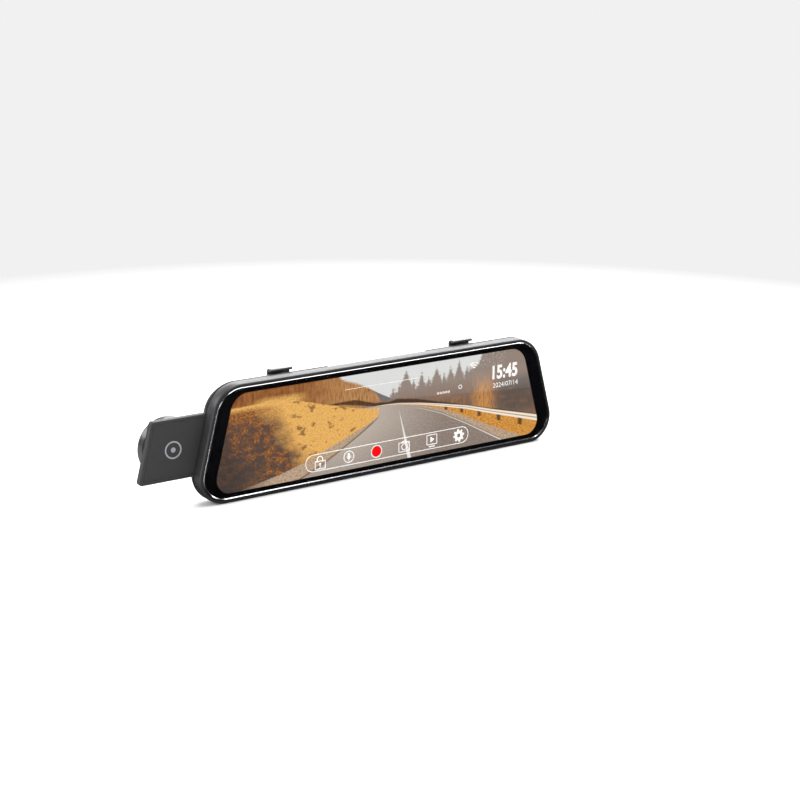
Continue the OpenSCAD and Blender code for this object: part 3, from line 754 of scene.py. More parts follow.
BOARD = Finish("board_green", tint("14402A"), rough=0.45, grain_size=0.5, grain_depth=0.01, coat=0.3)
CHIP = Finish("chip_black", tint("1D1D1F"), rough=0.6, grain_size=0.15, grain_depth=0.006)
CELL = Finish("cell_wrap", tint("5C6066"), rough=0.35, metallic=0.3, grain_size=0.6, grain_depth=0.01)
MESH = Finish("acoustic_mesh", tint("0A0A0A"), rough=0.8, grain_size=0.12, grain_depth=0.05)
IVORY = Finish("connector_ivory", tint("CFC7B4"), rough=0.5, grain_depth=0.005)
ICON = Finish("screen_white", tint("F4F2EE"), rough=0.5, grain_depth=0.0, specular=0.0, glow=0.95)
RECORD = Finish("screen_red", tint("F20A12"), rough=0.5, grain_depth=0.0, specular=0.0, glow=0.95)
MARK = Finish("printed_grey", tint("8A8C90"), rough=0.5, grain_depth=0.002)


def dress(
    obj: bpy.types.Object, finish: "Finish | bpy.types.Material", body: Body | None = None,
    replaces: Sequence[str] = ()
) -> bpy.types.Object:
    """Give a piece its finish, and put it on its body.

    Args:
        obj: The piece, or a CAD node's own object.
        finish: Its finish or material.
        body: CAD body that it rides on; none for a CAD node, which already rides.
        replaces: CAD nodes that it stands for.

    Returns:
        The piece.
    """
    material = finish.material() if isinstance(finish, Finish) else finish
    obj.data.materials.clear()
    obj.data.materials.append(material)
    if replaces:
        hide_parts(*replaces)
    if body is not None:
        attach(obj, body.value)
    return obj


# Front ------------------------------------------------------------------------


@dataclass
class FrontBezel:
    """Satin side wall round the screen and the bright ring in it."""

    outline: Trapezoid
    side_depth: float = 8.6
    wall: float = 1.8
    groove: float = 0.8
    ring_in: float = 3.2

    def build_frame(self) -> bpy.types.Object:
        """Side wall with a soft front edge, its lip behind the groove, and the inner flange.

        Returns:
            The frame.
        """
        back = self.side_depth + self.groove
        profile = rounded(
            [
                (0.0, 0.86), (0.0, self.side_depth), (self.groove, self.side_depth), (self.groove, back),
                (self.wall, back), (self.wall, 0.86)
            ],
            [0.8, 0.22, 0.05, 0.05, 0.05, 0.2],
        )
        shell = loft("front_frame_wall", [ring_at(self.outline.loop(i), d) for i, d in profile], closed=True)
        inner = [(self.wall, 1.76), (self.wall, 6.4), (3.79, 6.4), (3.79, 1.76)]
        flange = loft("front_frame_flange", [ring_at(self.outline.loop(i), d) for i, d in inner], closed=True)
        bar = prism("front_frame_bar", [(-36, 30.85), (36, 30.85), (36, 32.7), (-36, 32.7)], 7.65, 9.38)
        return join("front_frame_shell", [shell, flange, bar])

    def build_ring(self) -> bpy.types.Object:
        """Ring with a rounded outer edge and a chamfer down to the glass."""
        profile = rounded(
            [
                (1.92, 0.30), (2.15, 0.02), (2.62, 0.02), (self.ring_in, 0.42), (self.ring_in, 1.74),
                (1.92, 1.74)
            ],
            [0.2, 0.12, 0.15, 0.05, 0.02, 0.02],
        )
        return loft(
            "bright_ring_band", [ring_at(self.outline.loop(i), d) for i, d in profile], closed=True,
            smooth=45
        )

    def dress(self) -> None:
        """Build both pieces and give them their finishes."""
        dress(self.build_frame(), SATIN, Body.HOUSING, ["front_frame"])
        dress(self.build_ring(), CHROME, Body.HOUSING, ["bezel_ring"])


@dataclass(frozen=True)
class Brushes:
    """Coordinates in millimetres, noises, road edge and gravel that the picture's layers share."""

    x: Amount
    z: Amount
    broad: Amount
    streaks: Amount
    crumbs: Amount
    blots: Amount
    jag: Amount
    edge_line: Amount
    gravel: bpy.types.NodeSocket


@dataclass
class RoadPicture:
    """Picture on the screen: an autumn road between a hillside and a wood."""

    name: str = "road_picture"
    glow: float = 1.0

    def brushes(self, g: Graph) -> Brushes:
        """Make the coordinates and noises that the layers share.

        Args:
            g: Graph of the picture's material.

        Returns:
            The brushes.
        """
        x, z = g.plane()
        crumbs = g.noise(x, z, 1.3, 1.0, 5, 4.0)
        edge_line = g.height_over(
            x,
            [
                (-130, 6.8), (-18, 6.8), (2, 6.6), (10, 5.6), (25, 2.2), (40, -3), (60, -13), (90, -29.5),
                (130, -44)
            ]
        )
        gravel = g.mix(crumbs.above(0.45, 0.3), tint("8F7662"), tint("CDB296"))
        return Brushes(
            x=x,
            z=z,
            broad=g.noise(x, z, 16, 9, 4),
            streaks=g.noise(x, z, 1.1, 5.0, 5, 2.0),
            crumbs=crumbs,
            blots=g.noise(x, z, 7, 4, 3, 6.0),
            jag=g.noise(x, z, 0.9, 0.9, 3, 8.0) - 0.5,
            edge_line=edge_line,
            gravel=gravel,
        )

    def layers(self, g: Graph) -> bpy.types.NodeSocket:
        """Paint the picture from far to near and return its colour.

        Args:
            g: Graph of the picture's material.

        Returns:
            The colour.
        """
        b = self.brushes(g)
        colour = g.mix(b.broad, tint("DADCDB"), tint("E9E9E6"))
        for layer in (self.hills, self.conifers, self.road, self.left_bank, self.lines):
            colour = layer(g, b, colour)
        return self.rail(g, b.x, b.z, colour)

    def hills(self, g: Graph, b: Brushes, colour: bpy.types.NodeSocket) -> bpy.types.NodeSocket:
        """Far ridge and the wooded hill on the left.

        Args:
            g: Graph of the picture's material.
            b: Coordinates and noises of the picture.
            colour: The picture so far.

        Returns:
            The picture with this layer.
        """
        x, z, streaks, crumbs, blots, jag = b.x, b.z, b.streaks, b.crumbs, b.blots, b.jag
        ridge = z.below(
            g.height_over(x, [(-130, 20), (-12, 19), (-4, 14.5), (5, 10), (130, 0)]) + jag * 1.2, 0.5
        )
        colour = g.mix(ridge, colour, g.mix(streaks, tint("4D4B4C"), tint("8E8B88")))
        hill_line = g.height_over(
            x, [(-130, 44), (-38, 33), (-30, 26.5), (-20, 23), (-12, 19), (-7, 15), (-3, 9), (130, 0)]
        )
        trunks = g.noise(x, z, 2.2, 9.0, 4, 31.0)
        wood = g.mix(streaks.above(0.5, 0.6), tint("8A5330"), tint("BC7E46"))
        wood = g.mix(trunks.above(0.56, 0.1) * x.below(-48.0, 16.0) * 0.55, wood, tint("5B3317"))
        wood = g.mix(blots.above(0.5, 0.3) * 0.55, wood, tint("74431F"))
        wood = g.mix(x.above(-44.0, 30.0) * streaks.above(0.45, 0.3) * 0.7, wood, tint("CFA06A"))
        band = z.between(18.0, 23.0, 3.0) * x.between(-88.0, -58.0, 10.0)
        wood = g.mix(band * crumbs.above(0.4, 0.3), wood, tint("EBB767"))
        colour = g.mix(z.below(hill_line + jag * 4.0, 1.4), colour, wood)
        return colour

    def conifers(self, g: Graph, b: Brushes, colour: bpy.types.NodeSocket) -> bpy.types.NodeSocket:
        """Conifers on the right, a few of them tall.

        Args:
            g: Graph of the picture's material.
            b: Coordinates and noises of the picture.
            colour: The picture so far.

        Returns:
            The picture with this layer.
        """
        x, z, streaks, crumbs, blots, jag = b.x, b.z, b.streaks, b.crumbs, b.blots, b.jag
        trees = g.height_over(
            x, [(-130, 0), (2, 8), (6, 13), (20, 15), (42, 15.5), (60, 17), (70, 24), (78, 40), (130, 44)]
        )
        rows = g.add("ShaderNodeTexVoronoi", {"W": x * 0.22, "Scale": 1.0}, voronoi_dimensions="1D")
        trees = trees + Amount(g, rows.outputs["Distance"]).flipped() * 4.0 - 1.5
        conifers = (
            (5, 17, 3), (9.5, 19, 2.6), (14.5, 26, 5.2), (20, 20, 3), (26, 23.5, 3.6), (31, 19.5, 4),
            (37, 24.5, 5.4), (42.5, 21, 3), (47.5, 24, 4.2), (54, 26, 4.6), (60, 22.5, 4), (65.5, 24.5, 3.6),
            (71, 28, 4.6), (77, 31, 5),
        )
        for place, top, half in conifers:
            cone = g.math("MULTIPLY_ADD", (x - float(place)).size(), -11.0 / half, float(top))
            trees = g.math("MAXIMUM", trees, cone)
        feather = g.noise(x, z, 0.45, 0.7, 2, 17.0) - 0.5
        clumps = g.noise(x, z, 2.4, 1.5, 2, 21.0) - 0.5
        needle = g.mix(streaks.above(0.5, 0.5), tint("54443C"), tint("AC7C54"))
        needle = g.mix(blots.above(0.5, 0.3) * 0.75, needle, tint("77675F"))
        warm = x.between(66.0, 80.0, 8.0) * z.below(14.0, 10.0)
        needle = g.mix(warm * streaks.above(0.42, 0.2) * 0.8, needle, tint("D9974F"))
        shade_mass = x.above(84.0, 10.0) * z.between(-12.0, 12.0, 6.0)
        needle = g.mix(shade_mass * blots.above(0.35, 0.3) * 0.85, needle, tint("57504D"))
        high_leaves = x.above(72.0, 6.0) * z.above(17.0, 6.0)
        needle = g.mix(
            high_leaves * 0.75, needle, g.mix(crumbs.above(0.5, 0.15), tint("4A2C18"), tint("9C6232"))
        )
        needle = g.mix(z.above(13.0, 12.0) * 0.5, needle, tint("6E625B"))
        needle = g.mix(z.above(9.0, 14.0) * 0.35, needle, tint("B9ACA2"))
        colour = g.mix(z.below(trees + jag * 7.0 + feather * 6.0 + clumps * 8.0, 2.6) * 0.95, colour, needle)
        gaps = x.between(70.0, 88.0, 6.0) * z.above(20.5, 2.0) * crumbs.above(0.6, 0.06)
        colour = g.mix(gaps, colour, tint("E2E2DF"))
        return colour

    def road(self, g: Graph, b: Brushes, colour: bpy.types.NodeSocket) -> bpy.types.NodeSocket:
        """Shadow under the woods, the bank on the right, gravel and the road.

        Args:
            g: Graph of the picture's material.
            b: Coordinates and noises of the picture.
            colour: The picture so far.

        Returns:
            The picture with this layer.
        """
        x, z, crumbs, jag, edge_line, gravel = b.x, b.z, b.crumbs, b.jag, b.edge_line, b.gravel
        # Shadow where the woods meet the road
        shadow_top = g.height_over(
            x,
            [
                (-130, 9), (-34, 13.5), (-22, 13.5), (-8, 9.5), (2, 8.6), (8, 9.6), (22, 7.6), (36, 4),
                (130, -20)
            ]
        )
        shadow_low = g.height_over(x, [(-130, 9), (-32, 12.0), (-8, 7.4), (8, 7.2), (28, 3.6), (130, -24)])
        colour = g.mix(z.between(shadow_low, shadow_top + jag, 0.7) * 0.85, colour, tint("3B2619"))
        # Grass bank on the right, road and gravel
        grass = g.mix(crumbs.above(0.47, 0.25), tint("A86325"), tint("E7A850"))
        bank = z.below(
            g.height_over(
                x, [(-130, -44), (-10, 7.4), (10, 6.4), (40, 0.8), (70, -7), (116, -19), (130, -22)]
            ),
            0.3
        )
        colour = g.mix(bank * x.above(8.0, 3.0), colour, grass)
        asphalt = g.mix(x.above(6.0, 70.0), tint("D0C4B8"), tint("85746A"))
        asphalt = g.mix(z.below(-16.0, 24.0) * 0.55, asphalt, tint("77675E"))
        asphalt = g.mix(crumbs.above(0.5, 0.3) * 0.4, asphalt, tint("CDBFB2"))
        asphalt = g.mix(
            g.noise(x, z, 0.5, 0.5, 2, 12.0).below(0.44, 0.1) * z.below(-2.0, 20.0) * 0.3, asphalt,
            tint("5E5048")
        )
        gravel_line = g.height_over(
            x,
            [
                (-130, 7.6), (-18, 7.6), (2, 7.2), (12, 6.0), (28, 2.2), (42, -1.6), (60, -9.5), (80, -19),
                (104, -29), (130, -40)
            ]
        )
        colour = g.mix(z.below(gravel_line, 0.4), colour, gravel)
        colour = g.mix(z.below(edge_line, 0.4), colour, asphalt)
        return colour

    def left_bank(self, g: Graph, b: Brushes, colour: bpy.types.NodeSocket) -> bpy.types.NodeSocket:
        """Gravel along the road, then the bright slope with bushes, and painted shade along the picture's
        left edge.

        Args:
            g: Graph of the picture's material.
            b: Coordinates and noises of the picture.
            colour: The picture so far.

        Returns:
            The picture with this layer.
        """
        x, z, broad, crumbs, blots, jag, gravel = b.x, b.z, b.broad, b.crumbs, b.blots, b.jag, b.gravel
        near_edge = g.height_over(
            x,
            [
                (-130, -44), (-62, -29.5), (-45, -22.5), (-35, -17.3), (-20, -9), (-10, -3), (-5.5, 0.2),
                (-4, 6), (130, 6)
            ]
        )
        far_edge = g.height_over(
            x, [(-130, 9), (-24, 8), (-18, 6.3), (-12, 4.4), (-7, 1.6), (-5.5, 0.2), (-4, -4), (130, -6)]
        )
        left_bank = z.between(near_edge, far_edge, 0.5)
        grass_line = g.height_over(
            x,
            [
                (-130, -34), (-100, -28.5), (-75, -24), (-55, -18.6), (-30, -9.4), (-12, -2.4), (-6, 0.8),
                (-4, 8), (130, 8)
            ]
        )
        slope_top = g.height_over(
            x,
            [
                (-130, 20), (-84, 21), (-70, 20.6), (-60, 18.6), (-45, 14.4), (-30, 10.4), (-20, 8),
                (-10, 6), (130, 0)
            ]
        )
        colour = g.mix(left_bank, colour, gravel)
        colour = g.mix(
            z.between(near_edge - 0.4, near_edge + 0.7, 0.6) * x.between(-70.0, -7.0, 6.0) * 0.8, colour,
            tint("6B5142")
        )
        slope = g.mix(crumbs.above(0.4, 0.3), tint("CE8530"), tint("F0BC6C"))
        slope = g.mix(blots.above(0.6, 0.06) * x.between(-66.0, -18.0, 6.0) * 0.7, slope, tint("6C4526"))
        brush = g.mix(crumbs.above(0.52, 0.22), tint("6A4630"), tint("C77F3B"))
        brush = g.mix(blots.above(0.47, 0.16) * z.below(12.0, 10.0) * 0.85, brush, tint("4B4442"))
        thick = g.math("MULTIPLY_ADD", x + broad * 22.0 + z * 0.6, -1 / 16.0, -3.2, clamp=True)
        slope = g.mix(thick * z.below(18.5, 3.0), slope, brush)
        colour = g.mix(
            z.between(grass_line + jag * 1.5, slope_top + jag * 1.5, 0.6) * x.below(-4.0, 1.0), colour,
            slope
        )
        colour = g.mix(z.below(-8.0, 14.0) * x.below(-88.0, 18.0) * 0.7, colour, tint("49423F"))
        # Painted shade: the picture darkens along its left edge, next to the border.
        rim = g.math("MULTIPLY_ADD", z, -0.27, -109.5)
        colour = g.mix((x - rim).below(4.0, 12.0) * 0.45, colour, tint("33302F"))
        return colour

    def lines(self, g: Graph, b: Brushes, colour: bpy.types.NodeSocket) -> bpy.types.NodeSocket:
        """Painted lines on the road.

        Args:
            g: Graph of the picture's material.
            b: Coordinates and noises of the picture.
            colour: The picture so far.

        Returns:
            The picture with this layer.
        """
        x, z, edge_line = b.x, b.z, b.edge_line
        middle = g.math("SUBTRACT", x, g.math("MULTIPLY_ADD", z, -0.24, 9.9))
        width = g.math("MULTIPLY_ADD", z, -0.042, 0.12)
        colour = g.mix((middle.size() - width).below(0.0, 0.3) * z.below(1.5, 2.0), colour, tint("EDE8E2"))
        line_gap = (z - edge_line + 1.1).size() - g.math("MULTIPLY_ADD", x, 0.006, -0.05)
        colour = g.mix(line_gap.below(0.0, 0.25) * x.above(20.0, 10.0) * 0.9, colour, tint("E6DED4"))
        return colour

    def rail(self, g: Graph, x: Amount, z: Amount, colour: bpy.types.NodeSocket) -> bpy.types.NodeSocket:
        """Guard rail along the right, with posts that grow towards the viewer.

        Args:
            g: Graph of the picture's material.
            x: X of the surface.
            z: Z of the surface.
            colour: The picture so far.

        Returns:
            The picture with the rail.
        """
        top = g.height_over(
            x,
            [
                (-130, 9), (0, 7.3), (10, 6.7), (25, 4.6), (40, 1.8), (60, -2.4), (80, -7.9), (116, -17),
                (130, -21)
            ]
        )
        tall = g.math("MULTIPLY_ADD", g.math("MAXIMUM", x, 0.0), 0.030, 0.35)
        drop = g.math("DIVIDE", top - z, tall)
        nearness = g.math("POWER", g.math("MAXIMUM", x * 0.01, 0.001), 0.42)
        beat = g.math("FRACT", g.math("MULTIPLY", nearness, 13.4))
        post = beat.between(0.42, 0.60, 0.10) * drop.between(0.9, 2.3, 0.2) * x.above(38.0, 3.0)
        colour = g.mix(post * 0.9, colour, tint("49352A"))
        beam = g.mix(drop.between(0.42, 0.60, 0.14), tint("FBEBD8"), tint("9C8874"))
        return g.mix(drop.between(0.0, 1.05, 0.16) * x.above(-6.0, 8.0), colour, beam)

    def material(self) -> bpy.types.Material:
        """Lit panel that shows the picture.

        Returns:
            The material.
        """
        mat, g = new_material(self.name)
        colour = self.layers(g)
        shader = g.add("ShaderNodeBsdfPrincipled", {"Base Color": (0.01, 0.01, 0.01), "Roughness": 0.4})
        shader.inputs["Specular IOR Level"].default_value = 0.2
        g.feed(shader.inputs["Emission Color"], colour)
        shader.inputs["Emission Strength"].default_value = self.glow
        g.finish(shader)
        return mat


@dataclass
class TouchIcons:
    """Thin shapes of the screen's touch bar, clock and marks, just in front of the panel."""

    front: float = 1.66
    back: float = 1.73
    line: float = 0.5
    row_z: float = -20.9
    dot_x: float = -7.1
    dot_r: float = 3.2
    parts: list[bpy.types.Object] = field(default_factory=list)

    def plate(self, loop: Sequence[Point]) -> None:
        """Add a filled shape."""
        self.parts.append(prism("icon", loop, self.front, self.back))

    def band(self, outer: Sequence[Point], inner: Sequence[Point]) -> None:
        """Add a line between two outlines of the same number of points.

        Args:
            outer: Outer outline.
            inner: Inner outline.
        """
        rings = [
            ring_at(outer, self.front), ring_at(outer, self.back), ring_at(inner, self.back),
            ring_at(inner, self.front)
        ]
        self.parts.append(loft("icon", rings, closed=True))

    def circle(self, x: float, z: float, r: float, line: float | None = None) -> None:
        """Add a circle drawn as a line.

        Args:
            x: Middle along X.
            z: Middle along Z.
            r: Outer radius.
            line: Width of the line, if not the usual one.
        """
        line = line or self.line
        self.band(circle_loop(x, z, r), circle_loop(x, z, r - line))

    def frame_box(
        self, x: float, z: float, half_x: float, half_z: float, r: float, line: float | None = None
    ) -> None:
        """Add a round-cornered rectangle drawn as a line.

        Args:
            x: Middle along X.
            z: Middle along Z.
            half_x: Half the width.
            half_z: Half the height.
            r: Corner radius.
            line: Width of the line, if not the usual one.
        """
        line = line or self.line
        self.band(
            box_loop(x, z, half_x, half_z, r),
            box_loop(x, z, half_x - line, half_z - line, max(r - line, 0.05))
        )

    def arc(self, x: float, z: float, r: float, line: float, first: float, last: float) -> None:
        """Add an arc between two angles in degrees.

        Args:
            x: Middle along X.
            z: Middle along Z.
            r: Outer radius.
            line: Width of the line.
            first: Start angle.
            last: End angle.
        """
        angles = [radians(first + (last - first) * k / 12) for k in range(13)]
        outer = [(x + r * cos(a), z + r * sin(a)) for a in angles]
        inner = [(x + (r - line) * cos(a), z + (r - line) * sin(a)) for a in reversed(angles)]
        self.plate(outer + inner)

    def bar(self) -> None:
        """Pill-shaped outline of the touch bar."""
        self.frame_box(2.2, self.row_z + 0.1, 59.2, 5.35, 5.3, 0.45)

    def padlock(self, x: float) -> None:
        """Open padlock.

        Args:
            x: Middle of the mark.
        """
        self.frame_box(x, self.row_z - 1.6, 3.7, 2.6, 0.5)
        self.arc(x - 0.2, self.row_z + 1.9, 2.1, self.line, 0, 180)
        self.plate(box_loop(x - 2.05, self.row_z + 1.4, 0.25, 0.75, 0.05))
        self.plate(box_loop(x + 1.65, self.row_z + 1.4, 0.25, 0.75, 0.05))
        self.circle(x - 0.1, self.row_z - 1.1, 0.7, 0.4)
        self.plate(box_loop(x - 0.1, self.row_z - 2.4, 0.25, 0.8, 0.05))

    def microphone(self, x: float) -> None:
        """Microphone in a circle.

        Args:
            x: Middle of the mark.
        """
        self.circle(x, self.row_z, 3.75)
        self.plate(box_loop(x, self.row_z + 0.7, 0.85, 1.65, 0.8))
        self.arc(x, self.row_z + 0.4, 1.65, 0.35, 180, 360)
        self.plate(box_loop(x, self.row_z - 1.9, 0.2, 0.6, 0.05))

    def camera(self, x: float) -> None:
        """Still camera.

        Args:
            x: Middle of the mark.
        """
        self.frame_box(x, self.row_z - 0.5, 4.1, 3.1, 0.6)
        self.arc(x, self.row_z + 1.6, 1.9, self.line, 20, 160)
        self.circle(x + 0.1, self.row_z - 0.5, 2.15)
        self.plate(box_loop(x + 3.0, self.row_z + 1.6, 0.35, 0.3, 0.1))

    def player(self, x: float) -> None:
        """Screen with a play mark.

        Args:
            x: Middle of the mark.
        """
        self.frame_box(x, self.row_z + 0.8, 3.95, 3.3, 0.4)
        self.plate([(x - 1.1, self.row_z - 1.0), (x - 1.1, self.row_z + 2.6), (x + 1.9, self.row_z + 0.8)])
        self.plate(box_loop(x, self.row_z - 3.6, 2.2, 0.3, 0.1))

    def gear(self, x: float) -> None:
        """Gear wheel with eight teeth.

        Args:
            x: Middle of the wheel.
        """
        outer, inner = [], []
        for k in range(64):
            a = 2 * pi * k / 64
            r = 4.1 if k % 8 in (0, 1, 2, 3) else 3.1
            outer.append((x + r * cos(a), self.row_z + r * sin(a)))
            inner.append((x + 1.35 * cos(a), self.row_z + 1.35 * sin(a)))
        self.band(outer, inner)

    def signal(self, x: float, z: float) -> None:
        """Fan of three arcs, and a row of small marks with a ring beside it.

        Args:
            x: Middle of the fan.
            z: Foot of the fan.
        """
        for r in (1.6, 3.1, 4.6):
            self.arc(x, z, r, 0.75, 45, 135)
        for k in range(5):
            self.frame_box(38.2 + 2.0 * k, 8.5, 0.7, 0.6, 0.2, 0.3)
        self.circle(54.8, 10.3, 1.35, 0.4)
        self.plate(box_loop(-3.0, 20.6, 26.0, 0.1, 0.05))

    def digits(
        self, text: str, x: float, z: float, tall: float, wide: float, bold: float
    ) -> bpy.types.Object:
        """Numbers set in a width and height, centred on a point.

        Args:
            text: The numbers.
            x: Middle along X.
            z: Middle along Z.
            tall: Height.
            wide: Width.
            bold: How far the outline is thickened.

        Returns:
            The flat shape.
        """
        curve = bpy.data.curves.new("digits", "FONT")
        curve.body, curve.offset, curve.resolution_u = text, bold, 4
        source = bpy.data.objects.new("digits", curve)
        bpy.context.scene.collection.objects.link(source)
        bpy.context.view_layer.update()
        mesh = source.to_mesh()
        xs, ys = [v.co.x for v in mesh.vertices], [v.co.y for v in mesh.vertices]
        span, rise = max(xs) - min(xs), max(ys) - min(ys)
        verts = [
            at(
                x + ((v.co.x - min(xs)) / span - 0.5) * wide, self.front,
                z + ((v.co.y - min(ys)) / rise - 0.5) * tall
            )
            for v in mesh.vertices
        ]
        faces = [list(p.vertices) for p in mesh.polygons]
        source.to_mesh_clear()
        bpy.data.objects.remove(source)
        return make_object("digits", verts, faces)

    def dress(self) -> None:
        """Build the icons, the clock and the record dot."""
        self.bar()
        self.padlock(-46.8)
        self.microphone(-26.8)
        self.circle(self.dot_x, self.row_z, 4.0, 0.42)
        self.camera(13.0)
        self.player(33.6)
        self.gear(54.0)
        self.signal(65.3, 20.0)
        self.parts.append(self.digits("15:45", 89.4, 15.7, 9.0, 19.6, 0.03))
        self.parts.append(self.digits("2024/07/14", 89.8, 7.3, 3.1, 19.6, 0.0))
        dress(join("screen_icons", self.parts), ICON, Body.HOUSING)
        disc = [(0.0, self.front), (self.dot_r, self.front), (self.dot_r, self.back), (0.0, self.back)]
        dot = lathe("record_dot", rounded(disc, [0, 0.03, 0, 0]), self.dot_x, self.row_z, 48)
        dress(dot, RECORD, Body.HOUSING)


@dataclass
class Screen:
    """Mirror glass with its black border, the lit panel and its touch icons."""

    outline: Trapezoid
    inset: float = 3.27
    front: float = 0.36
    back: float = 1.44

    def glass_material(self) -> bpy.types.Material:
        """Slightly smoked glass with faint wiping marks.

        Returns:
            The material.
        """
        mat, g = new_material("mirror_glass")
        x, z = g.plane()
        wipes = g.noise(x, z, 30, 9, 5, 3.0)
        shader = g.add("ShaderNodeBsdfPrincipled")
        g.feed(shader.inputs["Base Color"], g.mix(wipes, (0.985, 0.985, 0.99), (1.0, 1.0, 1.0)))
        g.feed(shader.inputs["Roughness"], g.math("MULTIPLY_ADD", wipes, 0.02, 0.0, clamp=True))
        shader.inputs["Transmission Weight"].default_value = 1.0
        shader.inputs["IOR"].default_value = 1.32
        g.finish(shader)
        return mat

    def dress(self) -> None:
        """Build the glass and the picture, and finish the stack behind them."""
        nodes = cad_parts
        profile = rounded(
            [
                (self.inset + 6, self.front), (self.inset, self.front), (self.inset, self.back),
                (self.inset + 6, self.back)
            ],
            [0, 0.25, 0.15, 0]
        )
        glass = loft("mirror_glass_plate", [ring_at(self.outline.loop(i), d) for i, d in profile])
        dress(glass, self.glass_material(), Body.HOUSING, ["mirror_glass"])
        border = Finish("printed_border", tint("15161A"), rough=0.35, grain_depth=0.0, specular=0.3)
        dress(nodes["display_gasket"], border)
        dress(nodes["display_panel"], RoadPicture().material())
        dress(nodes["backlight"], STEEL)
        dress(nodes["mid_plate"], STAMPED)
        TouchIcons().dress()


# Back -------------------------------------------------------------------------


@dataclass
class BackShell:
    """Convex back with its flared island, the port ledge and the camera's notch."""

    outline: Trapezoid
    front: float = 9.4
    back: float = 15.5
    rise: float = 5.6
    slope_z: float = 11.5
    slope_x: float = 3.5
    wall: float = 1.8
    plateau_r: float = 7.0
    ledge_z: float = 31.2
    ledge_half: float = 36.0
    notch_x: float = -103.2
    notch_r: float = 18.7

    def form(self, name: str, k: float, front: float, steps: int = 16) -> bpy.types.Object:
        """Convex form of the back, k millimetres in from its skin.

        Args:
            name: Name of the shape.
            k: Distance in from the skin.
            front: Depth where it starts.
            steps: Rings on the slope.

        Returns:
            The form.
        """
        rings = [ring_at(self.slope_loop(k, 0.0), front)]
        for i in range(steps + 1):
            t = pi / 2 * i / steps
            rings.append(ring_at(self.slope_loop(k, t), self.back - k - self.rise * (1 - sin(t))))
        return loft(name, rings)

    def crease(self) -> bpy.types.Object:
        """Fine groove where the slope meets the flat back.

        Returns:
            The cutter.
        """
        edge = self.slope_loop(0.0, pi / 2)
        mouth, floor = self.back + 0.02, self.back - 0.24
        rings = []
        for inset, depth in ((-0.05, mouth), (0.12, floor), (0.3, floor), (0.48, mouth)):
            loop = [(x - inset * copysign(1.0, x), z - inset * copysign(1.0, z)) for x, z in edge]
            rings.append(ring_at(loop, depth))
        return loft("cut_crease", rings, closed=True)

    def scoops(self) -> list[bpy.types.Object]:
        """Shallow hollows that sink the slope beside the island's ends.

        Returns:
            The cutters.
        """
        place_x, place_z, place_d = 42.5, 31.5, 17.4
        half_x, half_z, half_d = 15.0, 8.5, 4.5
        turns = [2 * pi * j / 48 for j in range(48)]
        tools = []
        for side in (-1, 1):
            rings = []
            for i in range(1, 24):
                a = -pi / 2 + pi * i / 24
                r = cos(a)
                loop = [(side * place_x + half_x * r * cos(b), place_z + half_z * r * sin(b)) for b in turns]
                rings.append(ring_at(loop, place_d + half_d * sin(a)))
            tools.append(loft("cut_scoop", rings))
        return tools

    def slope_loop(self, k: float, t: float) -> list[Point]:
        """Outline of the form at angle t of its slope.

        Args:
            k: Distance in from the skin.
            t: Angle, 0 at the side wall and a quarter turn at the flat back.

        Returns:
            The outline.
        """
        across = self.slope_z * (1 - cos(t))
        o = self.outline
        squeezed = Trapezoid(
            o.half_w - k / cos(o.lean) - self.slope_x * (1 - cos(t)),
            o.half_h - k - across,
            self.plateau_r + (o.top_r - k - self.plateau_r) * cos(t),
            self.plateau_r + (o.low_r - k - self.plateau_r) * cos(t),
            o.lean,
            o.steps,
        )
        return squeezed.loop()

    def flare_loop(self, top: float, bottom: float, margin: float, steps: int = 20) -> list[Point]:
        """Outline of the island, wide at the flat back and narrow at the ledge.

        Args:
            top: Z of the narrow end.
            bottom: Z of the wide end.
            margin: Distance out on both sides.
            steps: Segments on each flank.

        Returns:
            The outline.
        """
        side: list[Point] = []
        for i in range(steps + 1):
            s = i / steps
            z = top - (top - 23.0) * s
            side.append((29.5 + 19.0 * s * s * (3 - 2 * s) + margin, z))
        side.append((side[-1][0], bottom))
        return side + [(-x, z) for x, z in reversed(side)]

    def panel_rings(self, steps: Sequence[Point]) -> list[Ring]:
        """Rings of the panel's recess, from pairs of how far it widens and the depth.

        Args:
            steps: Pairs of how far the recess widens and the depth.

        Returns:
            The rings.
        """
        return [ring_at(self.flare_loop(30.6 + k, 12.5 - k, k), d) for k, d in steps]

    def island(self) -> bpy.types.Object:
        """Raised island with a rounded rim.

        Returns:
            The island.
        """
        rim = 0.7
        rings = [ring_at(self.flare_loop(self.ledge_z, 21.0, 1.2), 12.0)]
        for i in range(5):
            a = pi / 2 * i / 4
            inset = rim * (1 - cos(a))
            rings.append(
                ring_at(
                    self.flare_loop(self.ledge_z - inset, 21.0, 1.2 - inset),
                    self.back - 0.002 - rim * (1 - sin(a))
                )
            )
        return loft("island", rings)

    def notch_cutters(self) -> list[bpy.types.Object]:
        """Shapes that open the end wall and the back for the camera slide.

        Returns:
            The cutters.
        """
        passage = prism(
            "cut_passage", [(-170, -18.3), (self.notch_x, -18.3), (self.notch_x, 18.3), (-170, 18.3)], 9.0,
            17.0
        )
        rings = []
        for depth, r in (
            (13.39, self.notch_r), (15.2, self.notch_r + 2.4), (15.52, self.notch_r + 2.9),
            (16.5, self.notch_r + 4.6)
        ):
            turn = [
                (self.notch_x + r * cos(a), r * sin(a)) for a in (pi / 2 - pi * k / 40 for k in range(41))
            ]
            rings.append(ring_at([(-170.0, r), *turn, (-170.0, -r)], depth))
        return [passage, loft("cut_notch", rings)]

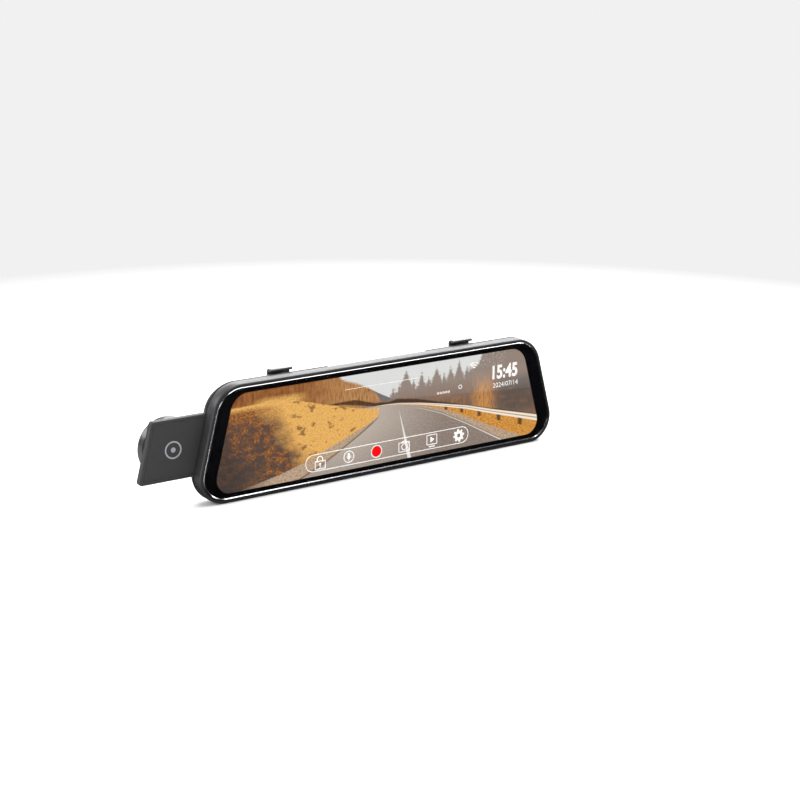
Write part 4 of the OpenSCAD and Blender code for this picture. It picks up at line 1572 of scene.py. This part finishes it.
    def slot(self, x: float, depth: float, wide: float, thick: float) -> bpy.types.Object:
        """Upright port slot with round ends.

        Args:
            x: Middle along X.
            depth: Middle along the depth.
            wide: Width along X.
            thick: Size along the depth.

        Returns:
            The cutter.
        """
        return prism("cut_slot", box_loop(x, depth, wide / 2, thick / 2, thick / 2 - 0.01), 26.0, 33.0, "z")

    def build(self) -> bpy.types.Object:
        """Make the whole shell.

        Returns:
            The shell.
        """
        shell = self.form("back_shell_cover", 0.0, self.front)
        hollow = self.form("cut_hollow", self.wall, self.front - 2.4)
        ledge_block = prism("cut_keep", [(-37.5, 29.6), (37.5, 29.6), (37.5, 40), (-37.5, 40)], 8.0, 17.0)
        combine(hollow, [ledge_block])
        combine(shell, [hollow, *self.scoops(), self.crease()])
        combine(shell, [self.island()], "UNION")
        cutters = [
            prism("cut_ledge", box_loop(0, 45.2, self.ledge_half, 14.0, 1.2), 8.4, 16.5),
            prism("cut_bay", [(-34, 20.5), (34, 20.5), (34, 29.6), (-34, 29.6)], 8.4, 13.7),
            loft("cut_panel", self.panel_rings(((0.0, 14.3), (0.0, 15.3), (0.15, 15.52), (0.15, 16.5)))),
            prism("cut_window", [(-26.8, 14.5), (26.8, 14.5), (26.8, 20.5), (-26.8, 20.5)], 12.7, 15.0),
            self.slot(-8.0, 12.23, 9.44, 3.51),
            self.slot(25.0, 11.5, 12.2, 1.6),
            self.slot(-24.0, 12.4, 9.5, 3.3),
            prism("cut_jack", circle_loop(11.0, 12.3, 1.85), 26.0, 33.0, "z"),
            prism("cut_reset", circle_loop(2.2, 12.4, 0.5), 26.0, 33.0, "z"),
            *self.notch_cutters(),
        ]
        combine(shell, cutters)
        return shade(shell, 28)

    def dress(self) -> None:
        """Build the shell and the panel in its island."""
        dress(self.build(), SHELL, Body.HOUSING, ["back_shell"])
        dress(self.speaker_panel(), SHELL, Body.HOUSING, ["speaker_panel"])
        dress(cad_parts["grille_mesh"], MESH)

    def speaker_panel(self, pitch: float = 3.2, hole_r: float = 0.6) -> bpy.types.Object:
        """Panel with two staggered rows of sound holes and the microphone hole.

        Args:
            pitch: Distance between holes.
            hole_r: Radius of a hole.

        Returns:
            The panel.
        """
        fit = 0.12
        low, high = self.flare_loop(30.6, 12.5, -fit), self.flare_loop(30.45, 12.65, -fit - 0.15)
        panel = loft("speaker_panel_plate", [ring_at(low, 14.31), ring_at(low, 15.3), ring_at(high, 15.49)])
        holes = [((i - 8) * pitch, 16.55) for i in range(17)] + [
            ((i - 7.5) * pitch, 18.45) for i in range(16)
        ] + [(-29.9, 16.55)]
        profile = [(0.0, 14.0), (hole_r, 14.0), (hole_r, 15.34), (hole_r + 0.18, 15.55), (0.0, 15.55)]
        cutters = [lathe("hole", profile, x, z, 20) for x, z in holes]
        return combine(panel, [join("cut_holes", cutters)], smooth=28)


@dataclass
class StrapBracket:
    """Bar with a hook at each end, and the soft pad that rests on the car's mirror."""

    side: int
    strap_x: float = 65.0
    bar_w: float = 22.8
    bar_h: float = 47.0
    hook_w: float = 14.8
    base: float = 15.5
    top: float = 19.4

    def hand(self) -> str:
        """Which bracket this is."""
        return "left" if self.side < 0 else "right"

    def hook(self, up: int) -> bpy.types.Object:
        """One hook, bent forward over the body's edge.

        Args:
            up: 1 for the upper hook, -1 for the lower one.

        Returns:
            The hook.
        """
        x = self.side * self.strap_x
        path = [(16.71, 22.0), (18.49, 22.0), (18.49, 36.49), (13.22, 36.49), (13.22, 34.72), (16.71, 34.72)]
        loop = rounded(path, [0, 0, 2.4, 0.85, 0.85, 0.7], 8)
        arm = prism("hook", [(d, z * up) for d, z in loop], x - self.hook_w / 2, x + self.hook_w / 2, "x")
        return bevel(arm, 0.3, 3)

    def build(self) -> bpy.types.Object:
        """Bar and both hooks as one piece.

        Returns:
            The bracket.
        """
        x = self.side * self.strap_x
        bar = bevel(
            prism("bar", box_loop(x, 0, self.bar_w / 2, self.bar_h / 2, 1.0), self.base, self.top), 0.45, 4
        )
        piece = combine(bar, [self.hook(1), self.hook(-1)], "UNION", 40)
        cuts = [screw_hole(x, v * 21.6, (0.85, 15.0, 1.6, 18.2, 19.6)) for v in (-1, 1)]
        return combine(piece, cuts, smooth=40)

    def pad(self) -> bpy.types.Object:
        """Soft pad with a ribbed face.

        Returns:
            The pad.
        """
        x = self.side * self.strap_x
        half_x, half_z = self.bar_w / 2 - 0.62, self.bar_h / 2 - 0.62
        base = loft(
            "pad",
            [
                ring_at(box_loop(x, 0, half_x - i, half_z - i, 0.8), d) for i,
                d in ((0.0, 19.41), (0.0, 19.8), (0.15, 19.9))
            ]
        )
        parts = [base]
        count = 22
        for k in range(count):
            z = (k - (count - 1) / 2) * (2 * half_z - 1.6) / count
            parts.append(
                prism(
                    "rib",
                    rounded([(19.7, z - 0.55), (19.98, z - 0.3), (19.98, z + 0.3), (19.7, z + 0.55)], 0.1, 3),
                    x - half_x + 0.8, x + half_x - 0.8, "x"
                )
            )
        return join(f"rest_pad_face_{self.hand()}", parts)

    def dress(self) -> None:
        """Build the bracket and its pad."""
        name = self.hand()
        piece = self.build()
        piece.name = f"strap_hooks_{name}"
        dress(piece, BRACKET, Body.HOUSING, [f"strap_bracket_{name}"])
        dress(self.pad(), SOFT, Body.HOUSING, [f"rest_pad_{name}"])


# Camera -----------------------------------------------------------------------


@dataclass
class CameraSlide:
    """Plate that slides out of the body's end, with its rear cover and a small mark."""

    end_x: float = -155.7
    inner_x: float = -78.2
    half_h: float = 18.0
    lean: float = SIDE_LEAN
    corner: float = 2.0
    face: float = 9.62
    seam: float = 11.5
    back: float = 13.39

    def loop(self, inset: float = 0.0) -> list[Point]:
        """Outline of the plate with its leaning outer end, moved in evenly.

        Args:
            inset: Distance in from the outline.

        Returns:
            The outline.
        """
        h = self.half_h - inset
        low = self.end_x - tan(self.lean) * h + inset / cos(self.lean)
        top = self.end_x + tan(self.lean) * h + inset / cos(self.lean)
        inner = self.inner_x - inset
        r = max(self.corner - inset, 0.5)
        return rounded([(low, -h), (inner, -h), (inner, h), (top, h)], [r, 0.5, 0.5, r], 8)

    def plate(self) -> bpy.types.Object:
        """Front tray with a soft edge and a fine panel line near its rim.

        Returns:
            The plate.
        """
        profile = [(0.0, self.seam - 0.02), (0.0, 10.05), (0.12, 9.74), (0.38, self.face)]
        profile += [(1.85, self.face), (2.0, 9.92), (2.3, 9.92), (2.5, self.face), (2.9, self.face)]
        plate = loft("slide_plate_face", [ring_at(self.loop(i), d) for i, d in profile])
        pocket = prism("cut", self.loop(1.3), 10.5, 11.6)
        return combine(plate, [pocket], smooth=30)

    def cover(self) -> bpy.types.Object:
        """Rear cover with a shadow gap at the seam.

        Returns:
            The cover.
        """
        profile = [
            (0.15, self.seam), (0.15, 11.65), (0.0, 11.75), (0.0, 13.1), (0.3, self.back), (1.0, self.back)
        ]
        cover = loft("slide_cover_face", [ring_at(self.loop(i), d) for i, d in profile])
        cuts = [lathe("cut", [(0.0, 11.0), (7.0, 11.0), (7.0, 13.6), (0.0, 13.6)], LENS_X)]
        cuts += [screw_hole(-83.2, v * 13.0, (0.7, 11.0, 1.35, 12.6, 13.6)) for v in (-1, 1)]
        return combine(cover, cuts, smooth=30)

    def mark(self) -> bpy.types.Object:
        """Plain lens sign: a ring with a dot, printed on the plate.

        Returns:
            The mark.
        """
        parts = []
        for outer, inner in ((5.2, 4.3), (1.5, 0.0)):
            profile = [(inner, 9.605), (outer, 9.605), (outer, 9.625), (inner, 9.625)]
            parts.append(lathe("mark", profile, LENS_X, segments=64))
        return join("slide_mark", parts)

    def dress(self) -> None:
        """Build the slide's pieces."""
        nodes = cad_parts
        dress(self.plate(), PLATE, Body.SLIDE, ["slide_plate"])
        dress(self.cover(), SATIN, Body.SLIDE, ["slide_cover"])
        dress(self.mark(), MARK, Body.SLIDE)
        dress(nodes["slide_screws"], SCREW)
        dress(nodes["camera_ribbon"], COPPER)
        dress(nodes["rail_upper"], SATIN)
        dress(nodes["rail_lower"], SATIN)


@dataclass
class LensTurret:
    """Collar, ball, barrel and lenses of the front camera."""

    x: float = LENS_X

    def turn(
        self, name: str, corners: Sequence[Point], radius: float | Sequence[float], smooth: float = 30
    ) -> bpy.types.Object:
        """Turn a rounded profile on the lens axis.

        Args:
            name: Name of the piece.
            corners: Radius and depth of each corner.
            radius: One radius, or one for each corner.
            smooth: Edges sharper than this many degrees stay crisp.

        Returns:
            The new object.
        """
        return lathe(name, rounded(corners, radius), self.x, smooth=smooth)

    def collar(self) -> bpy.types.Object:
        """Collar with a bright bevelled rim and the ball's socket inside.

        Returns:
            The collar.
        """
        socket = [(sqrt(15.47**2 - (d - 14.0) ** 2), d) for d in (19.49, 18.4, 17.2, 16.0, 14.8, 13.42)]
        corners = [(17.48, 13.42), (17.98, 17.72), (17.98, 18.58), (15.75, 19.49), *socket]
        return self.turn("collar_ring", corners, [0.05, 0.2, 0.25, 0.12] + [0] * len(socket))

    def ball(self) -> bpy.types.Object:
        """Glossy dome of the ball.

        Returns:
            The ball.
        """
        outer = [(sqrt(15.38**2 - (d - 14.0) ** 2), d) for d in (17.02, 17.8, 18.6, 19.4, 20.2, 21.0, 21.68)]
        inner = [(sqrt(14.12**2 - (d - 14.0) ** 2), d) for d in (20.9, 19.8, 18.4, 17.02)]
        corners = [*outer, (10.72, 21.68), *inner]
        return self.turn("ball_dome", corners, 0, smooth=40)

    def barrel(self) -> bpy.types.Object:
        """Tapered barrel with a foot, a fine step and a flared rim."""
        corners = [
            (7.62, 21.72), (12.28, 21.72), (12.28, 22.2), (11.9, 22.35), (10.32, 28.5), (10.85, 29.45),
            (10.98, 29.95), (10.98, 30.08), (9.26, 30.08), (9.26, 28.22), (7.62, 28.22)
        ]
        return self.turn(
            "barrel_sleeve", corners, [0.05, 0.15, 0.1, 0.2, 0.6, 0.2, 0.08, 0.06, 0.05, 0.02, 0.02]
        )

    def rim(self) -> bpy.types.Object:
        """Black ring that holds the front lens."""
        corners = [(9.06, 30.11), (10.88, 30.11), (10.5, 30.39), (9.3, 30.39), (9.06, 30.25)]
        return self.turn("lens_rim", corners, [0.02, 0.08, 0.06, 0.05, 0.04])

    def stepped(self) -> bpy.types.Object:
        """Inner barrel with steps down to the rear lens.

        Returns:
            The inner barrel.
        """
        steps: list[Point] = []
        for k in range(4):
            r = 6.6 - k * 0.8
            top = 28.14 if k == 0 else 25.4 - (k - 1) * 1.5
            steps += [(r, top), (r, 25.4 - k * 1.5)]
        corners = [(4.0, 17.21), (7.57, 17.21), (7.57, 28.14), *steps, (4.0, 20.9)]
        return self.turn("inner_barrel_steps", corners, 0)

    def dome(self) -> bpy.types.Object:
        """Front lens: a shallow dome with a flat back.

        Returns:
            The lens.
        """
        r, edge, rise = 9.0, 30.04, 1.1
        ball = (r * r + rise * rise) / (2 * rise)
        arc = [
            (
                r * k / 12, edge + rise - ball + sqrt(ball * ball - (r * k / 12) ** 2)
            ) for k in range(12, -1, -1)
        ]
        return lathe("front_lens_dome", [(0.0, 29.2), (r, 29.2), (r, edge), *arc], self.x, smooth=40)

    def coated_element(self) -> bpy.types.Object:
        """Coated element that gives the lens its violet depth."""
        arc = [(8.9 * k / 12, 28.5 + 0.55 * (1 - (k / 12) ** 2)) for k in range(12, -1, -1)]
        return lathe("coated_element", [(0.0, 28.28), (8.9, 28.28), *arc], self.x, smooth=50)

    def glass_material(self) -> bpy.types.Material:
        """Clear front lens with a violet coating.

        Returns:
            The material.
        """
        mat, g = new_material("lens_glass")
        x, z = g.plane()
        smear = g.noise(x, z, 5, 5, 3, 1.0)
        shader = g.add("ShaderNodeBsdfPrincipled")
        g.feed(shader.inputs["Base Color"], g.mix(smear, tint("C8B8F2"), tint("D9CCFA")))
        g.feed(shader.inputs["Roughness"], g.math("MULTIPLY_ADD", smear, 0.02, 0.0))
        shader.inputs["Transmission Weight"].default_value = 1.0
        shader.inputs["IOR"].default_value = 1.5
        g.finish(shader)
        return mat

    def coating_painted_shade_glow_material(self) -> bpy.types.Material:
        """Violet coating, bluer in the middle, with painted shade on its upper half and at its edge, and a
        faint painted glow.

        Returns:
            The material.
        """
        mat, g = new_material("violet_coating_painted_shade_glow")
        x, z = g.plane()
        across, up = x - self.x, z
        radius = g.math("SQRT", across * across + up * up)
        spot = g.math("SQRT", across * across + (up + 0.6) * (up + 0.6))
        # Painted shade: the upper half is darker than the lower half.
        colour = g.mix(up.below(0.0, 10.0), tint("281B48"), tint("4C3688"))
        # Painted shade: a dark edge where the rim shades the coating.
        colour = g.mix(radius.above(7.4, 1.2), colour, tint("150C26"))
        colour = g.mix(radius.between(3.6, 4.1, 0.3) * 0.4, colour, tint("2A1C52"))
        colour = g.mix(spot.below(1.3, 0.9), colour, tint("2B12E6"))
        shader = g.add(
            "ShaderNodeBsdfPrincipled", {"Base Color": colour, "Roughness": 0.08, "Metallic": 0.35}
        )
        shader.inputs["Coat Weight"].default_value = 0.8
        # Painted glow: the coating emits its own colour, though it is no lamp.
        g.feed(shader.inputs["Emission Color"], colour)
        shader.inputs["Emission Strength"].default_value = 0.3
        g.finish(shader)
        return mat

    def dress(self) -> None:
        """Build and finish the turret."""
        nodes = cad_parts
        coating = self.coating_painted_shade_glow_material()
        dress(self.collar(), COLLAR, Body.SLIDE, ["camera_collar"])
        dress(self.ball(), DOME, Body.TURRET, ["lens_ball"])
        dress(self.barrel(), BARREL, Body.TURRET, ["lens_barrel"])
        dress(self.rim(), GLOSS, Body.TURRET, ["lens_ring"])
        dress(self.stepped(), INNER, Body.TURRET, ["inner_barrel"])
        dress(self.dome(), self.glass_material(), Body.TURRET, ["front_lens"])
        dress(self.coated_element(), coating, Body.TURRET)
        dress(nodes["rear_lens"], coating)
        dress(nodes["image_sensor"], CHIP)
        dress(nodes["sensor_board"], BOARD)


# Ports and inside ---------------------------------------------------------------


@dataclass
class TopPorts:
    """Key, card and sockets on the top ledge."""

    key_x: float = -24.0
    key_d: float = 12.4
    card_x: float = 25.0

    def key(self) -> bpy.types.Object:
        """Power key with a soft rim and a flange under the ledge.

        Returns:
            The key.
        """
        cap = bevel(
            prism("key", box_loop(self.key_x, self.key_d, 4.49, 1.39, 1.38, 8), 29.5, 31.69, "z"), 0.3, 4,
            50
        )
        flange = prism("flange", box_loop(self.key_x, self.key_d, 5.19, 1.79, 1.7, 8), 28.71, 29.49, "z")
        return join("power_key_cap", [cap, flange])

    def card(self) -> bpy.types.Object:
        """Memory card with its notched edge and finger ridge.

        Returns:
            The card.
        """
        x0, x1, low, top = self.card_x - 5.5, self.card_x + 5.5, 16.8, 31.8
        path = [(x0, low), (x1 - 1.2, low), (x1 - 1.2, low + 6), (x1, low + 6.6), (x1, top), (x0, top)]
        body = prism("card", rounded(path, [0.4, 0.3, 0.1, 0.2, 0.4, 0.4]), 11.11, 11.89)
        return bevel(body, 0.08, 2)

    def dress(self) -> None:
        """Build the pieces and finish the sockets."""
        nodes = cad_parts
        dress(self.key(), SATIN, Body.KEY, ["power_button"])
        dress(self.card(), CHIP, Body.CARD, ["memory_card"])
        for name, finish in (
            ("usb_port", STEEL), ("av_port", INNER), ("card_socket", STEEL), ("power_switch", STEEL)
        ):
            dress(nodes[name], finish)


@dataclass
class Insides:
    """Finishes of the pieces inside the body, which stay as the CAD made them."""

    finishes: dict[str, Finish] = field(
        default_factory=lambda: {
            "main_board": BOARD,
            "processor": CHIP,
            "memory_chips": CHIP,
            "heat_spreader": STEEL,
            "board_parts": COPPER,
            "microphone": STEEL,
            "battery": CELL,
            "display_ribbon": COPPER,
            "camera_connector": IVORY,
            "speaker_basket": CHIP,
            "speaker_cone": CELL,
            "board_screws": SCREW,
            "bracket_screws": SCREW,
        }
    )

    def dress(self) -> None:
        """Give each inner piece its finish."""
        for name, finish in self.finishes.items():
            dress(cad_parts[name], finish)


# Studio -----------------------------------------------------------------------


@dataclass
class Studio:
    """Pale floor, soft lights and the camera."""

    floor_z: float = -34.6
    azimuth: float = radians(-33.97)
    elevation: float = radians(15.14)
    position: tuple[float, float, float] = (-0.5472, -0.8456, 0.2784)
    focal: float = 77.0
    pale: Colour = (0.80, 0.80, 0.80)
    backdrop: Colour = (0.88, 0.88, 0.88)
    card: Colour = (0.9, 0.9, 0.9)

    def floor(self) -> None:
        """Wide pale floor: lit near the object, evenly pale far off, and calmer in reflections."""
        half = 30000.0
        verts = [
            Vector((x, y, self.floor_z)) * MM for x,
            y in ((-half, -half), (half, -half), (half, half), (-half, half))
        ]
        obj = make_object("floor", verts, [[0, 1, 2, 3]])
        mat, g = new_material("studio_floor")
        coords = g.add("ShaderNodeTexCoord").outputs["Object"]
        parts = g.add("ShaderNodeSeparateXYZ", {0: coords})
        x, y = Amount(g, parts.outputs[0]), Amount(g, parts.outputs[1])
        path = g.add("ShaderNodeLightPath")
        pale = g.add("ShaderNodeBsdfDiffuse", {"Color": self.pale})
        far = g.add("ShaderNodeEmission", {"Color": self.backdrop})
        distance = g.math("SQRT", x * x + y * y)
        spread = g.add(
            "ShaderNodeMixShader",
            {0: distance.above(0.45, 0.5).socket, 1: pale.outputs[0], 2: far.outputs[0]}
        )
        dark = g.add("ShaderNodeEmission", {"Color": (0.012, 0.012, 0.014)})
        card = g.add("ShaderNodeEmission", {"Color": self.card})
        side = g.add(
            "ShaderNodeMixShader", {0: x.below(-0.16, 0.06).socket, 1: dark.outputs[0], 2: card.outputs[0]}
        )
        blend = g.add(
            "ShaderNodeMixShader",
            {0: path.outputs["Is Glossy Ray"], 1: spread.outputs[0], 2: side.outputs[0]}
        )
        g.finish(blend)
        obj.data.materials.append(mat)

    def world(self) -> None:
        """Pale surroundings for the camera and dim ones for reflections."""
        world = bpy.data.worlds.new("studio")
        bpy.context.scene.world = world
        world.use_nodes = True
        g = Graph(world.node_tree)
        path = g.add("ShaderNodeLightPath")
        colour = g.mix(path.outputs["Is Camera Ray"], (0.45, 0.45, 0.46), self.backdrop)
        colour = g.mix(path.outputs["Is Glossy Ray"], colour, (0.05, 0.05, 0.055))
        back = g.add("ShaderNodeBackground", {"Color": colour, "Strength": 1.0})
        out = g.add("ShaderNodeOutputWorld")
        g.feed(out.inputs[0], back.outputs[0])

    def light(
        self, name: str, place: Point | tuple, aim: tuple, size: tuple[float, float], power: float
    ) -> None:
        """Add a soft panel light.

        Args:
            name: Name of the light.
            place: Where it stands, in metres.
            aim: Point that it faces.
            size: Width and height in metres.
            power: Power in watts.
        """
        data = bpy.data.lights.new(name, "AREA")
        data.shape, data.size, data.size_y, data.energy = "RECTANGLE", *size, power
        obj = bpy.data.objects.new(name, data)
        obj.location = place
        obj.rotation_euler = (Vector(aim) - Vector(place)).to_track_quat("-Z", "Y").to_euler()
        obj.visible_camera = False
        bpy.context.scene.collection.objects.link(obj)

    def camera(self) -> None:
        """Camera at the chosen azimuth and elevation."""
        data = bpy.data.cameras.new("view")
        data.lens, data.sensor_width, data.clip_start, data.clip_end = self.focal, 36.0, 0.01, 100.0
        obj = bpy.data.objects.new("view", data)
        obj.location = self.position
        obj.rotation_euler = (pi / 2 - self.elevation, 0.0, self.azimuth)
        bpy.context.scene.collection.objects.link(obj)
        bpy.context.scene.camera = obj

    def build(self) -> None:
        """Set up the stage."""
        bpy.context.scene.view_settings.view_transform = "Standard"
        self.floor()
        self.world()
        self.light("overhead", (0.25, -0.05, 1.1), (0, 0, 0), (1.9, 1.2), 26)
        self.light("front_left", (-1.1, -0.9, 0.6), (0, 0, 0), (0.5, 0.7), 7)
        self.light("end_strip", (-1.0, 0.1, 0.25), (-0.1, 0, 0), (0.12, 0.7), 3)
        self.light("back_low", (0.55, 1.25, 0.42), (0, 0, 0), (1.5, 0.45), 9)
        self.light("back_strip", (0.75, 0.50, 0.95), (0, 0, 0), (1.3, 0.28), 16)
        self.light("back_left", (-0.9, 0.9, 0.7), (0, 0, 0), (0.6, 0.6), 6)
        self.light("right", (1.2, -0.3, 0.6), (0, 0, 0), (0.4, 0.6), 4)
        self.camera()


def main() -> None:
    """Build every sub-assembly in order."""
    logging.basicConfig(level=logging.INFO, format="%(name)s: %(message)s")
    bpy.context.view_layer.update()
    outline = Trapezoid(122.1, 34.5, 19.0, 16.0)
    steps: list[tuple[str, Callable[[], None]]] = [
        ("studio", Studio().build),
        ("front bezel", FrontBezel(outline).dress),
        ("screen", Screen(outline).dress),
        ("back shell", BackShell(outline).dress),
        ("left bracket", StrapBracket(-1).dress),
        ("right bracket", StrapBracket(1).dress),
        ("camera slide", CameraSlide().dress),
        ("lens turret", LensTurret().dress),
        ("top ports", TopPorts().dress),
        ("insides", Insides().dress),
    ]
    for name, step in steps:
        step()
        log.info("built %s", name)


if __name__ == "__main__":
    main()
